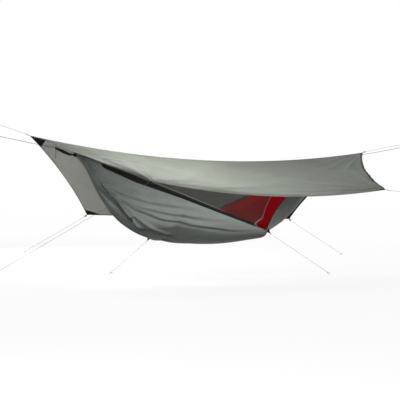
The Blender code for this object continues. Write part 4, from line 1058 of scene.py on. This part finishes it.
slider_metal = coated_metal("slider_metal", (0.022, 0.022, 0.023), (0.42, 0.42, 0.43), 0.36)
tab_metal = coated_metal("tab_metal", (0.16, 0.16, 0.165), (0.5, 0.5, 0.5), 0.34)
for name, metal in (("zip_slider_outer", slider_metal), ("zip_slider_inner", slider_metal),
                    ("pull_tab_outer", tab_metal), ("pull_tab_inner", tab_metal)):
    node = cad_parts[name]
    node.data.materials.clear()
    node.data.materials.append(metal)
    rounded = node.modifiers.new("edges", "BEVEL")
    rounded.width, rounded.segments, rounded.harden_normals = 0.0003, 2, True
    rounded.limit_method, rounded.angle_limit = "ANGLE", np.radians(35)


# Tie-out patches and their guy lines

# A triangle of doubled black cloth is sewn over the edge at each side, and its guy line, hitched
# around the cloth's tip, pulls the bed open.

TIE_REACH, TIE_CLOTH, TIE_LIFT = 0.045, 0.0017, 0.0022
TIES = {  # the tie-out, the edge it pulls, where the patch ends along it, and the guy line's route
    "near": (NEAR_TIE, hem_line, (2.357, 2.577),
             ((2.4825, -0.5789, -0.8963), (2.8442, -0.9878, -1.2334), (2.855, -1.000, -1.2435))),
    "far": (FAR_TIE, far_line, (1.610, 1.840),
            ((1.6803, 0.5667, -0.9903), (1.3676, 0.7429, -1.3039), (1.355, 0.750, -1.3165))),
}
for side, (tie, edge_line, ends, route) in TIES.items():
    pull = unit(route[2] - tie)
    first, last = (tie + unit(edge_line(np.array(x)) - tie) * TIE_REACH for x in ends)
    lift = unit(pull + (0, np.sign(tie[1]), 0)) * TIE_LIFT
    shares = np.linspace(0, 1, 11)[:, None]
    rim = np.concatenate([first + (tie - first) * shares, tie + (last - tie) * shares[1:]]) + lift
    points = rim + (tie + pull * TIE_REACH - rim) * np.linspace(0, 0.97, 15)[:, None, None]
    patch = sheet_piece(f"{side}_tie_patch_cloth", points,
                        grid_uvs(np.linspace(0, 0.06, 15), np.linspace(0, 0.08, 21)), TIE_CLOTH, black_cloth)
    fit(patch, "black_trim", f"{side}_tie_patch")
    guy_line(f"{side}_tie", *route, hitched=True)


# Ridge cord and net hang loops

# A 3 mm braided cord runs between the gathers under the fly. Five small webbing loops on it carry the
# net.

RIDGE_CORD = 0.003
HANG_LOOP, HANG_SIDE, HANG_TAPE, HANG_DROP = (0.0030, 0.0037), np.array((0.0038, 0, 0)), 0.0008, 0.0007
rope_braid = braided_material("rope_braid", (0.020, 0.020, 0.019), (0.055, 0.055, 0.052), 0.0075, 5)
cord_path = cord_line(np.linspace(HEAD_GATHER[0], FOOT_GATHER[0], 181))
ridge_cord = joined_piece("ridge_cord_line", rope_braid, tube_parts(cord_path, RIDGE_CORD / 2, 8))
fit(ridge_cord, "rope", "ridge_cord")
around = np.linspace(0, 2 * np.pi, 41)
ring = np.stack([0 * around, HANG_LOOP[0] * np.cos(around), HANG_LOOP[1] * np.sin(around)], axis=1)
for k, share in enumerate((0.1, 0.3, 0.5, 0.7, 0.9)):
    line = ring + cord_line(np.array(HEAD_GATHER[0] + SPAN * share)) + DOWN * HANG_DROP
    loop = band_piece(f"net_hang_loop_{k + 1}_tape", line - HANG_SIDE, line + HANG_SIDE, 5, HANG_TAPE,
                      loop_webbing)
    fit(loop, "black_trim", f"net_hang_loop_{k + 1}")


# Gather sleeves

# Each end of the bed is gathered into a black pleated sleeve, which is whipped tight with five turns
# of thin cord.

SLEEVE_RADIUS, SLEEVE_LENGTH, SLEEVE_GAP, WHIPPING = 0.0185, 0.032, 0.0003, 0.0018
SLEEVE_FORM = ((0, 0.35, 0.7, 1.0), (0.97, 0.97, 0.82, 0.48))  # shares of the length and of the radius
WHIP_TURNS = 5


def gather_parts(centre, sense):
    """A pleated sleeve that narrows outwards, with turns of cord around it."""
    def placed(share, angle, swell):
        radius = SLEEVE_RADIUS * np.interp(share, *SLEEVE_FORM) * swell
        parts = (sense * (SLEEVE_GAP + SLEEVE_LENGTH * share), radius * np.cos(angle), radius * np.sin(angle))
        return centre + np.stack(np.broadcast_arrays(*parts), axis=-1)
    lengths, angles = np.linspace(0, 1, 34), np.linspace(0, 2 * np.pi, 97)
    pleats = 0.93 + 0.06 * np.cos(12 * angles) * (1 - 0.4 * lengths)[:, None]
    uvs = grid_uvs(lengths * SLEEVE_LENGTH, angles * SLEEVE_RADIUS)
    turns = np.linspace(0, 2 * np.pi * WHIP_TURNS, 40 * WHIP_TURNS)
    wrap = placed(0.30 + 0.28 * turns / turns[-1], turns, 0.97)
    return [(placed(lengths[:, None], angles, pleats).reshape(-1, 3), ring_faces(34, 97, (1, 1)),
             uvs.reshape(-1, 2)), tube_parts(wrap, WHIPPING / 2, 6)]


sleeve_webbing = webbing_material("sleeve_webbing", (0.0140, 0.0148, 0.0132), 0.0014)
for end, gather, sense in (("head", HEAD_GATHER, -1), ("foot", FOOT_GATHER, 1)):
    sleeve = joined_piece(f"{end}_gather_sleeve_cloth", sleeve_webbing,
                          *gather_parts(gather + np.array((0, 0, 0.002)), sense))
    fit(sleeve, "black_trim", f"{end}_gather_sleeve")


# End straps

# A doubled strap of stiff black webbing leads from each sleeve up to the hanging rope. It is stitched
# across at both ends.

STRAP_HALF, STRAP_HIGH, STRAP_GIRTH = 0.0038, 0.015, 0.066
# Shares of a strap's length, and its rise and its height there, as shares of the whole.
STRAP_SHARES, STRAP_RISE, STRAP_FORM = (0, 0.21, 0.6, 1.0), (0, 0.06, 0.53, 1.0), (0.4, 0.8, 1.0, 0.7)
strap_webbing = webbing_material("strap_webbing", (0.0140, 0.0145, 0.0130), 0.0018,
                                 (0.006, 0.010, 0.150, 0.154))


def strap_parts(start, stop):
    """Two layers of webbing along the strap's line, at its height on each side."""
    shares = np.linspace(0, 1, 61)
    rise = np.interp(shares, STRAP_SHARES, STRAP_RISE)
    for _ in range(3):
        rise[1:-1] = (rise[:-2] + 2 * rise[1:-1] + rise[2:]) / 4
    line = start + (stop - start) * np.stack([shares, shares, rise], axis=1)
    high = STRAP_HIGH * np.interp(shares, STRAP_SHARES, STRAP_FORM)
    angles = np.linspace(0, 2 * np.pi, 25)
    upward = np.sign(np.sin(angles)) * abs(np.sin(angles)) ** 0.7
    aside = STRAP_HALF * np.sign(np.cos(angles)) * abs(np.cos(angles)) ** 0.4
    aside = aside * (1 - 0.35 * np.exp(-(upward / 0.5) ** 2))
    rings = np.stack(np.broadcast_arrays(0, aside, high[:, None] * upward), axis=-1)
    return ((line[:, None] + rings).reshape(-1, 3), ring_faces(61, 25, (1, 1)),
            grid_uvs(run_of(line), np.linspace(0, STRAP_GIRTH, 25)).reshape(-1, 2))


for end, gather, stop, sense in (("head", HEAD_GATHER, (0.5850, 0, -0.1075), -1),
                                 ("foot", FOOT_GATHER, (3.6490, 0, -0.1435), 1)):
    start = gather + np.array((sense * 0.0326, 0, 0.002))
    strap = joined_piece(f"{end}_end_strap_webbing", strap_webbing, strap_parts(start, stop))
    fit(strap, "black_trim", f"{end}_end_strap")


# Hanging ropes and tree loops

# 4 mm braided rope carries the hammock, tied into a loop around each tree. A short drip cord hangs
# from the head strap, so that rain running down the rope drips off before the bed.

ROPE, TREE_LOOP, ROPE_TAIL, ROPE_SAG = 0.004, 0.020, 0.035, 0.002
DRIP_SWAY, DRIP_KNOT = 0.0006, (0.0022, 0.0014, 0.007)  # the knot's radius, its cord's and its length


def hang_rope(end, start, tree):
    """The taut rope from the strap to the tree, and the loop that it ends in."""
    start, tree = np.array(start), np.array(tree, float)
    route = [bowed(start, tree, share, ROPE_SAG) for share in (0, 0.15, 0.3, 0.5, 0.7)]
    pull = unit(tree - route[-1])
    route.append(tree - pull * (TREE_LOOP + KNOT_LENGTH * ROPE + 0.0003))
    path = smooth_route(route, 60)
    rope = joined_piece(f"{end}_rope_line", rope_braid, tube_parts(path, ROPE / 2, 10))
    loop = joined_piece(f"{end}_tree_loop_rope", rope_braid,
                        *tied_end_parts(tree, pull, ROPE, TREE_LOOP, ROPE_TAIL))
    fit(rope, "rope", f"{end}_rope")
    fit(loop, "rope", f"{end}_tree_loop")


hang_rope("head", (0.584, 0, -0.1075), (0, 0, 0))
hang_rope("foot", (3.650, 0, -0.1435), (4.400, 0, -0.0145))
drip_low, drip_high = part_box("drip_cord")
drip_x = (drip_low[0] + drip_high[0]) / 2
drip_path = np.stack([drip_x + DRIP_SWAY * np.sin(np.linspace(0, 5, 40)), np.zeros(40),
                      np.linspace(drip_high[2], drip_low[2], 40)], axis=1)
knot_turns = np.linspace(0, 2 * np.pi * 2.2, 50)
knot_path = np.stack([drip_x + DRIP_KNOT[0] * np.cos(knot_turns), DRIP_KNOT[0] * np.sin(knot_turns),
                      drip_low[2] + 0.004 + DRIP_KNOT[2] * knot_turns / knot_turns[-1]], axis=1)
drip = joined_piece("drip_cord_line", rope_braid, tube_parts(drip_path, ROPE / 2, 8))
drip_knot = joined_piece("drip_cord_knot", rope_braid, tube_parts(knot_path, DRIP_KNOT[1], 8))
fit(drip, "rope", "drip_cord")
fit(drip_knot, "rope")


# Studio

# A pale floor and a white surround, with key and fill lamps low in front, a soft lamp close over the
# fly, one behind it, and a low strip under the awning. The camera is at the photograph's view.

CAMERA_PLACE, CAMERA_VIEW, LENS = (-1.796, -8.883, -0.5805), (0.3942, 0.9190, 0), 90.3
FLOOR_CORNERS = [(-40, -30, -1.325), (45, -30, -1.325), (45, 60, -1.325), (-40, 60, -1.325)]


def white_for_camera(tree, others):
    """1 for what the camera sees, directly or in a reflection, and others for the light on the object."""
    path = add_node(tree, "ShaderNodeLightPath").outputs
    seen = calc(tree, "MAXIMUM", calc(tree, "MAXIMUM", path["Is Camera Ray"], path["Is Glossy Ray"]),
                path["Is Transmission Ray"])
    return calc(tree, "MULTIPLY_ADD", seen, 1.0 - others, others)


scene = bpy.context.scene
scene.view_settings.view_transform = "Standard"
world = bpy.data.worlds.new("studio")
world.use_nodes = True
scene.world = world
background = world.node_tree.nodes["Background"]
background.inputs["Color"].default_value = (1, 1, 1, 1)
world.node_tree.links.new(white_for_camera(world.node_tree, 0.10), background.inputs["Strength"])

floor_material, tree, shader = new_material("studio_floor", 0.9, Base_Color=(0.12, 0.12, 0.12, 1),
                                            Specular_IOR_Level=0.0, Emission_Color=(1, 1, 1, 1))
position = add_node(tree, "ShaderNodeNewGeometry").outputs["Position"]
away = add_node(tree, "ShaderNodeVectorMath", {0: position}, operation="LENGTH").outputs["Value"]
glow = add_node(tree, "ShaderNodeMapRange", {"Value": away, "From Min": 3.0, "From Max": 12.0, "To Min": 0.90,
                                             "To Max": 0.98}).outputs[0]
tree.links.new(calc(tree, "MULTIPLY", white_for_camera(tree, 0.0), glow), shader.inputs["Emission Strength"])
floor_mesh = bpy.data.meshes.new("studio_floor")
floor_mesh.from_pydata(FLOOR_CORNERS, [], [(0, 1, 2, 3)])
floor_mesh.materials.append(floor_material)
floor = bpy.data.objects.new("studio_floor", floor_mesh)
scene.collection.objects.link(floor)


def add_lamp(name, place, target, size, power, in_gloss=True, colour=(1, 1, 1)):
    """A rectangular area lamp turned towards its target, which no camera sees."""
    data = bpy.data.lights.new(name, "AREA")
    data.color = colour
    data.shape, data.energy = "RECTANGLE", power
    data.size, data.size_y = size
    lamp = bpy.data.objects.new(name, data)
    lamp.visible_camera, lamp.visible_glossy = False, in_gloss
    scene.collection.objects.link(lamp)
    lamp.location = place
    lamp.rotation_euler = (Vector(target) - Vector(place)).to_track_quat("-Z", "Y").to_euler()


add_lamp("key", (-2.0, -6.5, -0.4), (1.5, -0.4, -0.7), (2.0, 2.0), 125)
add_lamp("fill", (5.4, -6.5, 0.2), (1.9, -0.4, -0.7), (2.0, 2.0), 100)
add_lamp("top", (1.60, -0.72, 0.70), (1.60, -0.62, -0.4), (1.0, 0.7), 18, colour=(1.0, 0.955, 0.93))
add_lamp("back", (0.0, 5.3, 1.5), (1.6, 0.3, -0.4), (2.5, 2.5), 430, in_gloss=False)
add_lamp("awning", (1.55, -0.90, -0.62), (1.65, -0.32, -0.84), (1.6, 0.12), 6.8, in_gloss=False)

camera_data = bpy.data.cameras.new("camera")
camera_data.lens, camera_data.sensor_width = LENS, 36.0
camera = bpy.data.objects.new("camera", camera_data)
scene.collection.objects.link(camera)
camera.location = CAMERA_PLACE
camera.rotation_euler = Vector(CAMERA_VIEW).to_track_quat("-Z", "Y").to_euler()
scene.camera = camera
